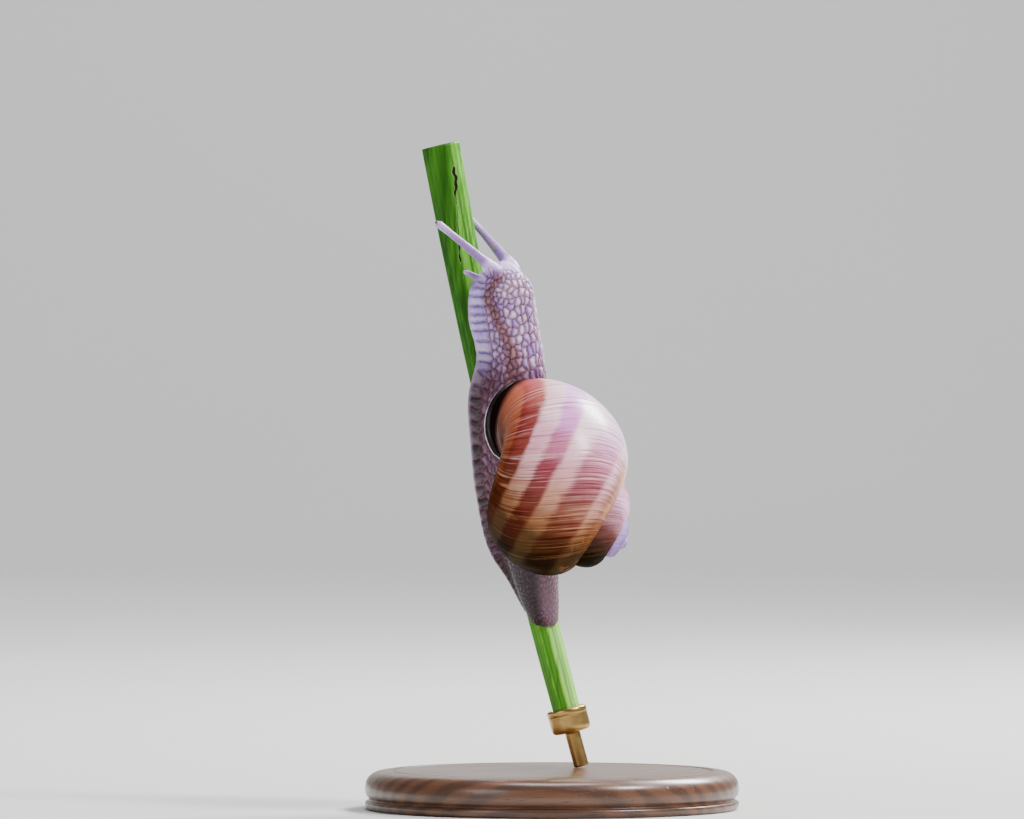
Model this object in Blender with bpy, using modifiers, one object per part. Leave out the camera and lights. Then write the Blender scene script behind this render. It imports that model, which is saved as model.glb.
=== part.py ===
"""A garden snail of the Roman kind, climbing a cut plant stem on a display stand, life size.

Metres, +Z up, with the origin at the middle of the base's underside. The front is -Y. The stem leans
to the left, and the snail clasps it with its foot, head up. Its left side faces the front.
The flesh is one loft, cut free of the stem and shell and then parted by thin cuts.
"""

import math

import bmesh
import bpy
import numpy as np
from mathutils import Matrix, Vector

MM = 0.001
GAP = 0.3 * MM  # between neighbours that touch on the real animal
CLEAR = 1.1 * GAP  # how far a cutter stands out from what it clears
SHARP = math.radians(40)  # edges sharper than this are shaded as edges
CUT_WIDTH = 120 * MM  # wider than the snail

# Stand
BASE_RADIUS = 38 * MM
BASE_HEIGHT = 8 * MM
BASE_EDGE = 1.6 * MM
BASE_SILL = 0.6 * MM
ROD_RADIUS = 1.5 * MM
CUP_HEIGHT = 5 * MM
CUP_WALL = 0.9 * MM
CUP_FLOOR = 1.5 * MM

# Stem: it leans to the left by 15 degrees at its foot, and grows a little more upright on the way up
STEM_FOOT = 17 * MM
STEM_TOP = 135 * MM
STEM_X, STEM_Y = 8.44 * MM, 8 * MM  # where its line meets the floor
STEM_LEAN = 0.283  # run over rise at the floor
STEM_UPRIGHT = 0.77  # run over rise that it loses in each metre of height
STEM_THIN, STEM_THICK = 2.65 * MM, 3.8 * MM  # radii at its foot and its top
STEM_SLOPE = 0.24  # run over rise at mid height, to which all its sections are square
STEM_RIBS = 9
STEM_RIB_DEPTH = 0.12 * MM

# Shell: a right-handed coil. Radius and drop are those of the whorl's middle line at the lip.
SHELL_APEX = Vector((14.8, -9.2, 52.8)) * MM
SHELL_DIP = math.radians(36.3)  # its axis points this far below the level, to the right
SHELL_YAW = math.radians(4.1)  # and this far to the back
LIP_RADIUS = 10.9 * MM
LIP_DROP = 24.8 * MM
TUBE_ACROSS = 11.7 * MM  # half width of the whorl across the axis
TUBE_ALONG = 14.2 * MM  # half width of the whorl along the axis
TUBE_TILT = math.radians(8.4)
LIP_TURN = math.radians(139.3)  # the lip's place round the axis, from the front
LIP_SLANT = math.radians(30.5)  # how far its outer end lags behind its inner end
LAST_GROWTH, EARLY_GROWTH = 1.82, 2.15  # growth a whorl, in the last whorl and before it
DROP_POWER = 1.11
SWELL, SWELL_AT, SWELL_LENGTH = 0.13, -1.64, 0.3  # a fuller stretch of the last whorl but one
PINHOLE = 0.7 * MM
SHELL_WALL = 1.2 * MM
LIP_FLARE = 0.25 * MM
LIP_LENGTH = 1.1 * MM
MOUTH_DEPTH, MOUTH_PAST = 0.09, 0.03  # whorls that the mouth's cutter reaches back and forward
COLLAR_BACK, COLLAR_FRONT = -0.07, -0.005  # the mantle's ends in the mouth, in whorls
SMALL_BELOW = -1.6  # lengths of whorl that end below this have coarser sections

# Body sections, level, from the tail's tip to the crown of the head, all in millimetres but the turn.
# Heights are above the base, the rest from the stem's axis: the ridge of the back, the half width of
# the back, and the foot's edge, out to the side and up towards the ridge. The turn is the way that
# the back faces, in degrees from the right towards the front: the snail winds round the stem.
BODY = {
    #             height turn  ridge  back  edge out  edge up
    "tail_tip": (36.2, 84, 3.6, 2.6, 2.4, 0.4),
    "tail": (42.0, 80, 5.4, 4.0, 4.0, -0.6),
    "tail_root": (46.5, 74, 6.6, 4.8, 5.2, -1.4),
    "heel": (51.0, 66, 7.6, 5.8, 7.0, -2.2),
    "foot": (63.0, 50, 9.5, 7.1, 7.1, -3.3),
    "saddle": (74.0, 43, 12.5, 7.1, 6.6, -2.2),
    "collar": (83.5, 38, 14.1, 6.4, 6.2, -0.7),
    "neck": (92.0, 35, 14.8, 5.8, 5.9, 3.1),
    "throat": (100.0, 35, 15.2, 5.8, 6.6, 3.6),
    "head": (106.5, 35, 15.6, 5.3, 5.3, 4.9),
    "crown": (111.4, 35, 14.3, 3.6, 3.4, 7.0),
}
TAIL_ROUND = 2.5 * MM
HEAD_ROUND = 6.0 * MM
SOLE_CLASPED, SOLE_LIFTED = 1.0, 4.4  # the sole's middle, in the stem where clasped, clear at the neck
LIFT_STARTS, LIFT_ENDS = 0.5, 3.0  # the foot's edge is this far up as the sole leaves the stem
BODY_CUTS = {  # each flesh node ends where the next begins, at this height
    "tail": 49.5 * MM,
    "foot_rear": 59.0 * MM,
    "foot_middle": 72.0 * MM,
    "foot_front": 86.0 * MM,
    "neck": 99.5 * MM,
    "head": 115.0 * MM,
}

# Feelers: from a point in the head, given as a height and as millimetres left of and out from the stem
# along the head's own directions, to a tip in world directions from there
UPPER_BASE_LEFT = (108.2, 2.6, 10.8)
UPPER_BASE_RIGHT = (108.2, -2.4, 11.6)
UPPER_REACH_LEFT = Vector((-13.1, -4.2, 10.8)) * MM
UPPER_REACH_RIGHT = Vector((-10.3, 9.2, 12.3)) * MM
UPPER_RADII_LEFT = (1.75 * MM, 1.2 * MM, 0.88 * MM, 0.76 * MM, 0.86 * MM)
UPPER_RADII_RIGHT = (1.8 * MM, 1.4 * MM, 1.02 * MM, 0.82 * MM, 0.86 * MM)
LOWER_BASE = (106.6, 3.0, 7.1)
LOWER_REACH_LEFT = Vector((-4.8, -1.8, 2.6)) * MM
LOWER_REACH_RIGHT = Vector((-4.4, 4.4, 2.4)) * MM
LOWER_RADII = (1.0 * MM, 0.68 * MM, 0.5 * MM)
FEELER_POINTS = 9
FEELER_ROOT = 0.4  # share of its radius at the first point, which keeps the root inside the head
FEELER_END = 0.75  # and at the last point, which rounds the tip
EYE_RADIUS = 0.4 * MM

COLOURS = {  # colour, roughness, metallic
    "shell": ((0.46, 0.25, 0.16), 0.35, 0.0),
    "lip": ((0.75, 0.68, 0.62), 0.4, 0.0),
    "flesh": ((0.42, 0.32, 0.36), 0.45, 0.0),
    "eye": ((0.03, 0.025, 0.03), 0.2, 0.0),
    "stem": ((0.16, 0.33, 0.09), 0.45, 0.0),
    "base": ((0.10, 0.055, 0.03), 0.4, 0.0),
    "rod": ((0.62, 0.60, 0.56), 0.3, 1.0),
}


# ---------------------------------------------------------------- scene and small tools


def clear_scene():
    for obj in list(bpy.data.objects):
        bpy.data.objects.remove(obj, do_unlink=True)


def collection(name):
    made = bpy.data.collections.new(name)
    bpy.context.scene.collection.children.link(made)
    return made


def material(name):
    made = bpy.data.materials.new(name)
    made.use_nodes = True
    shader = made.node_tree.nodes["Principled BSDF"]
    colour, roughness, metallic = COLOURS[name]
    shader.inputs["Base Color"].default_value = (*colour, 1)
    shader.inputs["Roughness"].default_value = roughness
    shader.inputs["Metallic"].default_value = metallic
    return made


def new_object(name, mesh, finish=None):
    """A node where a finish is given, otherwise a hidden cutter."""
    obj = bpy.data.objects.new(name, mesh)
    (PARTS if finish else CUTTERS).objects.link(obj)
    if finish:
        mesh.materials.clear()
        mesh.materials.append(FINISHES[finish])
        mesh.shade_smooth()
        mesh.set_sharp_from_angle(angle=SHARP)
    else:
        obj.hide_render = True
        obj.display_type = "WIRE"
    return obj


def loft(name, rings, finish=None):
    """A closed solid through rings of points, an array of (ring, point, xyz), with fan caps."""
    rings = np.asarray(rings)
    count, around = rings.shape[:2]
    corner = np.arange(count * around).reshape(count, around)
    after = np.roll(corner, -1, axis=1)
    sides = np.stack([corner[:-1], after[:-1], after[1:], corner[1:]], -1).reshape(-1, 4).tolist()
    first, last = count * around, count * around + 1
    caps = [(first, after[0, i], corner[0, i]) for i in range(around)]
    caps += [(last, corner[-1, i], after[-1, i]) for i in range(around)]
    points = np.concatenate([rings.reshape(-1, 3), [rings[0].mean(0), rings[-1].mean(0)]])
    return new_object(name, solid(name, points.tolist(), sides + caps), finish)


def solid(name, points, faces):
    """A mesh of these faces, all turned outwards."""
    mesh = bpy.data.meshes.new(name)
    mesh.from_pydata(points, [], faces)
    shape = bmesh.new()
    shape.from_mesh(mesh)
    bmesh.ops.recalc_face_normals(shape, faces=shape.faces)
    if shape.calc_volume(signed=True) < 0:
        bmesh.ops.reverse_faces(shape, faces=shape.faces)
    return mesh_of(name, shape)


def mesh_of(name, shape):
    mesh = bpy.data.meshes.new(name)
    shape.to_mesh(mesh)
    shape.free()
    return mesh


def boolean(obj, other, operation="DIFFERENCE"):
    modifier = obj.modifiers.new(f"{operation.title()} {other.name}", "BOOLEAN")
    modifier.operation = operation
    modifier.object = other
    modifier.solver = "MANIFOLD"


def settled(obj):
    """Apply the object's modifiers and keep the largest body that they leave."""
    graph = bpy.context.evaluated_depsgraph_get()
    mesh = bpy.data.meshes.new_from_object(obj.evaluated_get(graph))
    obj.modifiers.clear()
    obj.data = mesh
    shape = bmesh.new()
    shape.from_mesh(mesh)
    bodies, seen = [], set()
    for start in shape.verts:
        if start in seen:
            continue
        body, front = [], [start]
        seen.add(start)
        while front:
            vert = front.pop()
            body.append(vert)
            for edge in vert.link_edges:
                near = edge.other_vert(vert)
                if near not in seen:
                    seen.add(near)
                    front.append(near)
        bodies.append(body)
    for body in sorted(bodies, key=len)[:-1]:
        bmesh.ops.delete(shape, geom=body, context="VERTS")
    shape.to_mesh(mesh)
    shape.free()
    mesh.shade_smooth()
    mesh.set_sharp_from_angle(angle=SHARP)
    return obj


def between(x, knots_x, knots_y):
    """Smooth values at x through knots, by cubic Hermite pieces. knots_y is (knot,) or (knot, value)."""
    x, kx, ky = np.atleast_1d(x), np.asarray(knots_x, float), np.asarray(knots_y, float)
    slopes = np.gradient(ky, kx, axis=0)
    i = np.clip(np.searchsorted(kx, x, side="right") - 1, 0, len(kx) - 2)
    width = kx[i + 1] - kx[i]
    t = np.clip((x - kx[i]) / width, 0, 1)
    if ky.ndim > 1:
        width, t = width[:, None], t[:, None]
    return (
        ky[i] * (1 + 2 * t) * (1 - t) ** 2
        + ky[i + 1] * t * t * (3 - 2 * t)
        + slopes[i] * width * t * (1 - t) ** 2
        - slopes[i + 1] * width * t * t * (1 - t)
    )


# ---------------------------------------------------------------- stem


def stem_axis(height):
    """The stem's middle at these heights, as (height, xyz)."""
    height = np.atleast_1d(height)
    x = STEM_X - STEM_LEAN * height + STEM_UPRIGHT * height**2 / 2
    return np.stack([x, np.full_like(height, STEM_Y), height], -1)


def stem_radius(height):
    share = (np.atleast_1d(height) - STEM_FOOT) / (STEM_TOP - STEM_FOOT)
    return STEM_THIN + (STEM_THICK - STEM_THIN) * share


def stem_rings(extra, ribs, around, count=7):
    """Sections square to the stem, with ribs as a cosine wave round them."""
    heights = np.linspace(STEM_FOOT, STEM_TOP, count)
    turn = np.arange(around) / around * 2 * np.pi
    circle = np.stack([np.cos(turn), np.sin(turn), STEM_SLOPE * np.cos(turn)], -1)
    radius = stem_radius(heights)[:, None] + extra + ribs * np.cos(STEM_RIBS * turn)
    return stem_axis(heights)[:, None] + radius[..., None] * circle


def make_stem():
    return loft("perch_stem", stem_rings(0.0, STEM_RIB_DEPTH, around=4 * STEM_RIBS), "stem")


def stem_cutter():
    return loft("cut_stem", stem_rings(GAP + STEM_RIB_DEPTH, 0.0, around=24))


# ---------------------------------------------------------------- shell


def shell_directions():
    """The axis towards the apex, and two directions across it, up to the right and to the front."""
    dip, yaw = SHELL_DIP, SHELL_YAW
    axis = np.array([math.cos(yaw) * math.cos(dip), math.sin(yaw), -math.cos(yaw) * math.sin(dip)])
    right = np.array([math.sin(dip), 0, math.cos(dip)])
    return axis, right, np.cross(axis, right)


def shell_size(whorl):
    """Size against the lip's, where whorl is 0 at the lip and counts back below it."""
    return LAST_GROWTH ** np.maximum(whorl, -1) * EARLY_GROWTH ** np.minimum(whorl + 1, 0)


def shell_rings(whorls, extra=0.0, around=26):
    """Sections of the coiled tube, grown outwards by extra. They stop short of the axis."""
    axis, right, front = shell_directions()
    turn = np.arange(around) / around * 2 * np.pi
    size = shell_size(whorls)[:, None]
    swell = 1 + SWELL * np.exp(-(((whorls[:, None] - SWELL_AT) / SWELL_LENGTH) ** 2))
    across = (TUBE_ACROSS + extra / size) * np.cos(turn)
    along = (TUBE_ALONG + extra / size) * np.sin(turn)
    out = LIP_RADIUS + across * math.cos(TUBE_TILT) - along * math.sin(TUBE_TILT)
    down = across * math.sin(TUBE_TILT) + along * math.cos(TUBE_TILT)
    angle = LIP_TURN + 2 * np.pi * whorls[:, None] - LIP_SLANT * down / TUBE_ALONG
    out = np.maximum(size * swell * out, PINHOLE - extra)[..., None]
    drop = (size**DROP_POWER * LIP_DROP + size * down)[..., None]
    spoke = np.sin(angle)[..., None] * right + np.cos(angle)[..., None] * front
    return np.array(SHELL_APEX) - axis * drop + spoke * out


def turns(start, end, step):
    return np.linspace(start, end, int(round((end - start) / step)) + 1)


def mouth_normal():
    """The way that the shell's mouth faces, from the area vector of its edge."""
    edge = shell_rings(np.zeros(1))[0]
    spokes = edge - edge.mean(0)
    area = np.cross(spokes, np.roll(spokes, -1, axis=0)).sum(0)
    growth = edge.mean(0) - shell_rings(np.full(1, -0.02))[0].mean(0)
    return area / np.linalg.norm(area) * np.sign(area @ growth)


def lip_band(name, start, end, inside, outside, finish=None):
    """A ring round the mouth, from one distance in front of it to another."""
    outer, inner = (shell_rings(np.zeros(1), extra)[0] for extra in (outside, inside))
    near, far = start * mouth_normal(), end * mouth_normal()
    loops = np.array([outer + near, outer + far, inner + far, inner + near])
    corner = np.arange(loops.shape[0] * loops.shape[1]).reshape(loops.shape[:2])
    along, around = np.roll(corner, -1, axis=0), np.roll(corner, -1, axis=1)
    beyond = np.roll(along, -1, axis=1)
    faces = np.stack([corner, around, beyond, along], -1).reshape(-1, 4)
    return new_object(name, solid(name, loops.reshape(-1, 3).tolist(), faces.tolist()), finish)


def make_shell():
    """The whorls from the inside out, each cut free of those it winds round, then the lip.

    Returns the grown cutters, the inner whorls' first, then the front one's and the lip's.
    """
    near_axis = 0.6 * LIP_RADIUS
    apart = GAP / (2 * math.pi * near_axis)  # the gap, in whorls, between two lengths at the lip's size
    lengths = {
        "shell_apex": (-3.5, -2.65),
        "shell_spire": (-2.65, -1.75),
        "shell_penultimate_whorl": (-1.75, -0.88),
        "shell_body_whorl_back": (-0.88, -0.42),
        "shell_body_whorl_front": (-0.42, 0.0),
    }
    made, grown = [], []
    for name, (start, end) in lengths.items():
        around, step = (14, 0.06) if end < SMALL_BELOW else (26, 0.055)
        begin, past = start + apart / shell_size(start), end + apart / 2 / shell_size(end)
        whorl = loft(name, shell_rings(turns(begin, end, step), 0.0, around), "shell")
        for cutter in grown:
            boolean(whorl, cutter)
        made.append(settled(whorl))
        grown.append(loft(f"cut_{name}", shell_rings(turns(start, past, step), CLEAR, around)))
    mouth = loft("cut_mouth", shell_rings(turns(-MOUTH_DEPTH, MOUTH_PAST, 0.02), -SHELL_WALL))
    boolean(made[-1], mouth)
    settled(made[-1])
    lip = lip_band("shell_lip", GAP, GAP + LIP_LENGTH, -SHELL_WALL, LIP_FLARE, "lip")
    for cutter in grown[:-1]:
        boolean(lip, cutter)
    settled(lip)
    grown.append(lip_band("cut_shell_lip", 0.0, 2 * GAP + LIP_LENGTH, -SHELL_WALL - GAP, LIP_FLARE + GAP))
    boolean(made[-1], grown[-1])
    settled(made[-1])
    return grown


# ---------------------------------------------------------------- flesh


def body_directions(turn_degrees):
    """Level directions at these turns: to the snail's left, and out from the stem through its back."""
    turn = np.radians(turn_degrees)
    left = np.stack([-np.sin(turn), -np.cos(turn), 0 * turn], -1)
    out = np.stack([np.cos(turn), -np.sin(turn), 0 * turn], -1)
    return left, out


def section(ridge, back, edge_out, edge_up, sole, around, extra=0.0):
    """One closed level section as (point, left-and-out), in millimetres.

    The back is an arch that narrows to a waist, from which the foot's edge stands out as a fringe.
    The points are shares of the half widths and of the ridge's rise over the foot's edge.
    """
    ridge, back, edge_out, sole = ridge + extra, back + extra, edge_out + extra, sole - extra
    rise = ridge - edge_up
    left = [
        (0.0, ridge),
        (0.66 * back, ridge - 0.16 * rise),
        (back, edge_up + 0.50 * rise),
        (0.93 * back, edge_up + 0.20 * rise),
        (edge_out, edge_up + 0.45),
        (0.90 * edge_out, edge_up - 0.75),
        (0.50 * edge_out, 0.6 * sole + 0.4 * edge_up),
        (0.0, sole),
    ]
    right = [(-x, y) for x, y in left[-2:0:-1]]
    knots = np.array(left + right)
    knots = np.concatenate([knots[-3:], knots, knots[:4]])
    steps = np.linalg.norm(np.diff(knots, axis=0), axis=1) ** 0.6
    place = np.concatenate([[0], np.cumsum(steps)])
    start, end = place[3], place[-4]
    return between(start + (end - start) * np.arange(around) / around, place, knots)


def body_rings(extra=0.0, count=38, around=24):
    """Level sections from the tail to the crown, shrinking to round ends."""
    stations = np.array(list(BODY.values()))
    low, high = stations[0, 0] * MM, stations[-1, 0] * MM
    heights = low + (high - low) * (1 - np.cos(np.linspace(0, np.pi, count))) / 2
    heights = 0.5 * heights + 0.5 * np.linspace(low, high, count)
    turn, ridge, back, edge_out, edge_up = between(heights / MM, stations[:, 0], stations[:, 1:]).T
    left, out = body_directions(turn)
    lifted = np.clip((edge_up - LIFT_STARTS) / (LIFT_ENDS - LIFT_STARTS), 0, 1)
    sole = SOLE_CLASPED + (SOLE_LIFTED - SOLE_CLASPED) * lifted * lifted * (3 - 2 * lifted)
    at_tail = np.clip(1 - (heights - low) / TAIL_ROUND, 0, 0.98)
    at_head = np.clip(1 - (high - heights) / HEAD_ROUND, 0, 0.98)
    shrink = np.sqrt(1 - at_tail**2) * np.sqrt(1 - at_head**2)
    axis = stem_axis(heights)
    rings = []
    for i in range(count):
        flat = section(ridge[i], back[i], edge_out[i], edge_up[i], sole[i], around, extra / MM)
        middle = np.array([0.0, (ridge[i] + max(edge_up[i], sole[i])) / 2])
        flat = (middle + (flat - middle) * shrink[i]) * MM
        rings.append(axis[i] + flat[:, :1] * left[i] + flat[:, 1:] * out[i])
    return np.array(rings)


def slab(name, low, high):
    """A cutter that holds all between two heights."""
    bpy.ops.mesh.primitive_cube_add(size=1, location=(0, 0, (low + high) / 2))
    obj = bpy.context.object
    obj.name = name
    obj.scale = (CUT_WIDTH, CUT_WIDTH, high - low)
    bpy.ops.object.transform_apply(scale=True)
    for owner in list(obj.users_collection):
        owner.objects.unlink(obj)
    CUTTERS.objects.link(obj)
    obj.hide_render = True
    obj.display_type = "WIRE"
    return obj


def make_flesh(stem_cut, shell_cuts):
    whole = loft("cut_whole_body", body_rings())
    boolean(whole, stem_cut)
    settled(whole)
    for cutter in shell_cuts:
        boolean(whole, cutter)
        settled(whole)
    low = 0.0
    for name, high in BODY_CUTS.items():
        piece = new_object(name, whole.data.copy(), "flesh")
        boolean(piece, slab(f"cut_{name}", low, high), "INTERSECT")
        settled(piece)
        low = high + GAP
    grown = loft("cut_grown_body", body_rings(GAP))
    make_collar([grown, *shell_cuts[:-2]])
    make_feelers(grown)


def make_collar(neighbours):
    """The mantle, which fills the shell's mouth round the neck."""
    inset = -SHELL_WALL - GAP
    rings = shell_rings(turns(COLLAR_BACK, COLLAR_FRONT, 0.018), inset)
    collar = loft("mantle_collar", rings, "flesh")
    for cutter in neighbours:
        boolean(collar, cutter)
    settled(collar)


def head_point(place):
    """World point of (height, left of the stem, out from the stem), all in millimetres."""
    height, aside, away = place
    left, out = body_directions(BODY["head"][1])
    return Vector(stem_axis(height * MM)[0] + aside * MM * left + away * MM * out)


def feeler(name, base, reach, radii, bow):
    """A tapered tube from base along reach, bowed upwards by a share of its length."""
    share = np.linspace(0, 1, FEELER_POINTS)
    path = np.array(base) + share[:, None] * np.array(reach)
    path[:, 2] += bow * reach.length * 4 * share * (1 - share)
    radius = between(share, np.linspace(0, 1, len(radii)), radii)
    radius[0] *= FEELER_ROOT
    radius[-1] *= FEELER_END
    curve = bpy.data.curves.new(name, "CURVE")
    curve.dimensions = "3D"
    curve.bevel_depth = MM
    curve.bevel_resolution = 3
    curve.use_fill_caps = True
    spline = curve.splines.new("POLY")
    spline.points.add(FEELER_POINTS - 1)
    for point, place, size in zip(spline.points, path, radius):
        point.co = (*place, 1)
        point.radius = size / MM
    drawn = bpy.data.objects.new(name, curve)
    CUTTERS.objects.link(drawn)
    graph = bpy.context.evaluated_depsgraph_get()
    shape = bmesh.new()
    shape.from_mesh(bpy.data.meshes.new_from_object(drawn.evaluated_get(graph)))
    bmesh.ops.remove_doubles(shape, verts=shape.verts, dist=1e-6)
    bpy.data.objects.remove(drawn, do_unlink=True)
    return new_object(name, mesh_of(name, shape), "flesh")


def make_feelers(grown_body):
    pairs = {
        "upper_tentacle_left": (UPPER_BASE_LEFT, UPPER_REACH_LEFT, UPPER_RADII_LEFT, 0.01),
        "upper_tentacle_right": (UPPER_BASE_RIGHT, UPPER_REACH_RIGHT, UPPER_RADII_RIGHT, 0.02),
    }
    height, aside, away = LOWER_BASE
    pairs |= {
        "lower_tentacle_left": ((height, aside, away), LOWER_REACH_LEFT, LOWER_RADII, 0.05),
        "lower_tentacle_right": ((height, -aside, away), LOWER_REACH_RIGHT, LOWER_RADII, 0.05),
    }
    for name, (place, reach, radii, bow) in pairs.items():
        base = head_point(place)
        made = feeler(name, base, reach, radii, bow)
        boolean(made, grown_body)
        if name.startswith("upper"):
            tip = base + reach * (1 + 0.1 * EYE_RADIUS / reach.length)
            eye = ball(name.replace("upper_tentacle", "eye"), tip, EYE_RADIUS, "eye")
            boolean(made, ball(f"cut_{eye.name}", tip, EYE_RADIUS + GAP))
        settled(made)


def ball(name, place, radius, finish=None):
    shape = bmesh.new()
    bmesh.ops.create_uvsphere(shape, u_segments=8, v_segments=6, radius=radius)
    shape.transform(Matrix.Translation(place))
    return new_object(name, mesh_of(name, shape), finish)


# ---------------------------------------------------------------- stand


def make_stand():
    """A turned base, and a rod along the stem's line with a cup that holds the stem's cut end."""
    corner = np.linspace(np.pi / 2, 0, 3)
    rounded = np.stack([BASE_EDGE * np.cos(corner), BASE_EDGE * np.sin(corner)], -1)
    shoulder = rounded + (BASE_RADIUS - BASE_EDGE, BASE_HEIGHT - BASE_EDGE)
    sill = [(BASE_RADIUS, BASE_SILL), (BASE_RADIUS - BASE_SILL, 0), (0, 0)]
    turned("stand_base", [(0, BASE_HEIGHT), *shoulder.tolist(), *sill], "base")
    rod_top = STEM_FOOT - CUP_FLOOR - 2 * GAP
    rod = post("stand_rod", BASE_HEIGHT - ROD_RADIUS, rod_top, ROD_RADIUS, "rod")
    boolean(rod, slab("cut_rod_foot", BASE_HEIGHT + GAP, 2 * STEM_FOOT), "INTERSECT")
    settled(rod)
    well = STEM_THIN + STEM_RIB_DEPTH + GAP
    cup = post("stand_cup", rod_top + GAP, rod_top + GAP + CUP_HEIGHT, well + CUP_WALL, "rod")
    boolean(cup, post("cut_cup", STEM_FOOT - GAP, STEM_FOOT + CUP_HEIGHT, well))
    settled(cup)


def post(name, low, high, radius, finish=None):
    """A straight round post along the stem's line between two heights, its ends square to it."""
    foot, top = (Vector(point) for point in stem_axis(np.array([low, high])))
    shape = bmesh.new()
    length = (top - foot).length
    bmesh.ops.create_cone(shape, cap_ends=True, segments=24, radius1=radius, radius2=radius, depth=length)
    shape.transform(Matrix.LocRotScale((foot + top) / 2, (top - foot).to_track_quat("Z", "Y"), None))
    return new_object(name, mesh_of(name, shape), finish)


def turned(name, outline, finish):
    """A turned solid from (radius, height) points down its outer side."""
    mesh = bpy.data.meshes.new(name)
    points = [(radius, 0, height) for radius, height in outline]
    mesh.from_pydata(points, [(i, i + 1) for i in range(len(points) - 1)], [])
    obj = new_object(name, mesh, finish)
    screw = obj.modifiers.new("Turn", "SCREW")
    screw.steps = screw.render_steps = 32
    screw.use_merge_vertices = True
    screw.merge_threshold = 1e-5
    screw.use_smooth_shade = False
    return settled(obj)


clear_scene()
PARTS = collection("snail_on_stem")
CUTTERS = collection("cutters")
FINISHES = {name: material(name) for name in COLOURS}
make_stand()
make_stem()
make_flesh(stem_cutter(), make_shell())
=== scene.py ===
# %% [markdown]
# # A garden snail on a cut stem
#
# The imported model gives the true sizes: a snail that clasps a plant stem, and a turned stand that
# holds the stem. This lesson dresses it. Almost every piece is a surface worked out with numpy, as a
# function of two parameters on a grid, and every finish is a recipe of shader nodes. Lengths are in
# metres, and `MM` turns millimetres into them.

import bmesh
import bpy
import numpy as np
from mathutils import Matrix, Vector


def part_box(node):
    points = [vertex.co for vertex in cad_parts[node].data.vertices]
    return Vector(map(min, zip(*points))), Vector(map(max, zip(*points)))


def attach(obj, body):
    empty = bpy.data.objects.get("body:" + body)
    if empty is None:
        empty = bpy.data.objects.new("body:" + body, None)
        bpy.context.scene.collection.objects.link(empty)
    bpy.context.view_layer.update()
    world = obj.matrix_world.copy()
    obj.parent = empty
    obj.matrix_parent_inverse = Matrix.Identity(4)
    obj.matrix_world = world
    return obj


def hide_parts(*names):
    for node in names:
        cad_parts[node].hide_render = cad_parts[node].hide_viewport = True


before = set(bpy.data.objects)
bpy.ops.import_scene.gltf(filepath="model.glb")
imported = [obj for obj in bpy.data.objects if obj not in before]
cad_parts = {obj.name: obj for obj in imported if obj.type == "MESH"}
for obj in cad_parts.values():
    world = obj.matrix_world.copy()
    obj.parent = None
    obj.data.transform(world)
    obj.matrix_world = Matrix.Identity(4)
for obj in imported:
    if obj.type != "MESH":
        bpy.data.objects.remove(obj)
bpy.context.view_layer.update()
MM = 0.001
rng = np.random.default_rng(7)

# %% [markdown]
# ## Tools for shapes
#
# A grid of points becomes a mesh in one go: each point is joined to the next one along and the next
# one across. A tube's grid closes on itself across, and its ends are closed with a fan to one point.
# Modelling tools would move points about one by one, but a formula says where all of them are at once.


# %% From a grid to a mesh
def surface(name, grid, closed=False, caps=False, attributes=None):
    """A mesh from points (row, column, xyz). closed joins the last column to the first, and caps
    closes both ends of a tube. attributes is a dict of name to values (row, column)."""
    rows, columns = grid.shape[:2]
    index = np.arange(rows * columns).reshape(rows, columns)
    across = np.roll(index, -1, axis=1) if closed else index[:, 1:]
    here = index if closed else index[:, :-1]
    faces = np.stack([here[:-1], across[:-1], across[1:], here[1:]], -1).reshape(-1, 4).tolist()
    points = grid.reshape(-1, 3)
    if caps:
        ends = np.stack([grid[0].mean(0), grid[-1].mean(0)])
        first, last = len(points), len(points) + 1
        points = np.concatenate([points, ends])
        faces += [(first, b, a) for a, b in zip(index[0].tolist(), across[0].tolist())]
        faces += [(last, a, b) for a, b in zip(index[-1].tolist(), across[-1].tolist())]
    mesh = bpy.data.meshes.new(name)
    mesh.from_pydata(points.tolist(), [], faces)
    for key, values in (attributes or {}).items():
        flat = np.broadcast_to(values, (rows, columns)).ravel()
        note(mesh, key, np.append(flat, flat[[0, -1]]) if caps else flat)
    mesh.shade_smooth()
    if closed and caps:
        face_out(mesh)
    return placed(name, mesh)


def note(mesh, name, values):
    """Keep one number for each point, for the finish to read."""
    mesh.attributes.new(name, "FLOAT", "POINT").data.foreach_set("value", values.astype(np.float32))


def placed(name, data):
    """A new object in the scene, made of a mesh, a lamp or a camera."""
    obj = bpy.data.objects.new(name, data)
    bpy.context.scene.collection.objects.link(obj)
    return obj


def face_out(mesh):
    """Turn the faces of a closed mesh outwards."""
    shape = bmesh.new()
    shape.from_mesh(mesh)
    bmesh.ops.recalc_face_normals(shape, faces=shape.faces)
    if shape.calc_volume(signed=True) < 0:
        bmesh.ops.reverse_faces(shape, faces=shape.faces)
    shape.to_mesh(mesh)
    shape.free()


# %% [markdown]
# Few things on an animal change in a straight line. `smooth_between` is a cubic Hermite curve, which
# passes through a few given values with no corner at them, and `ramp` is the smooth step that most
# masks are made of. A polynomial through all the values would swing wide between them.


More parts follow.
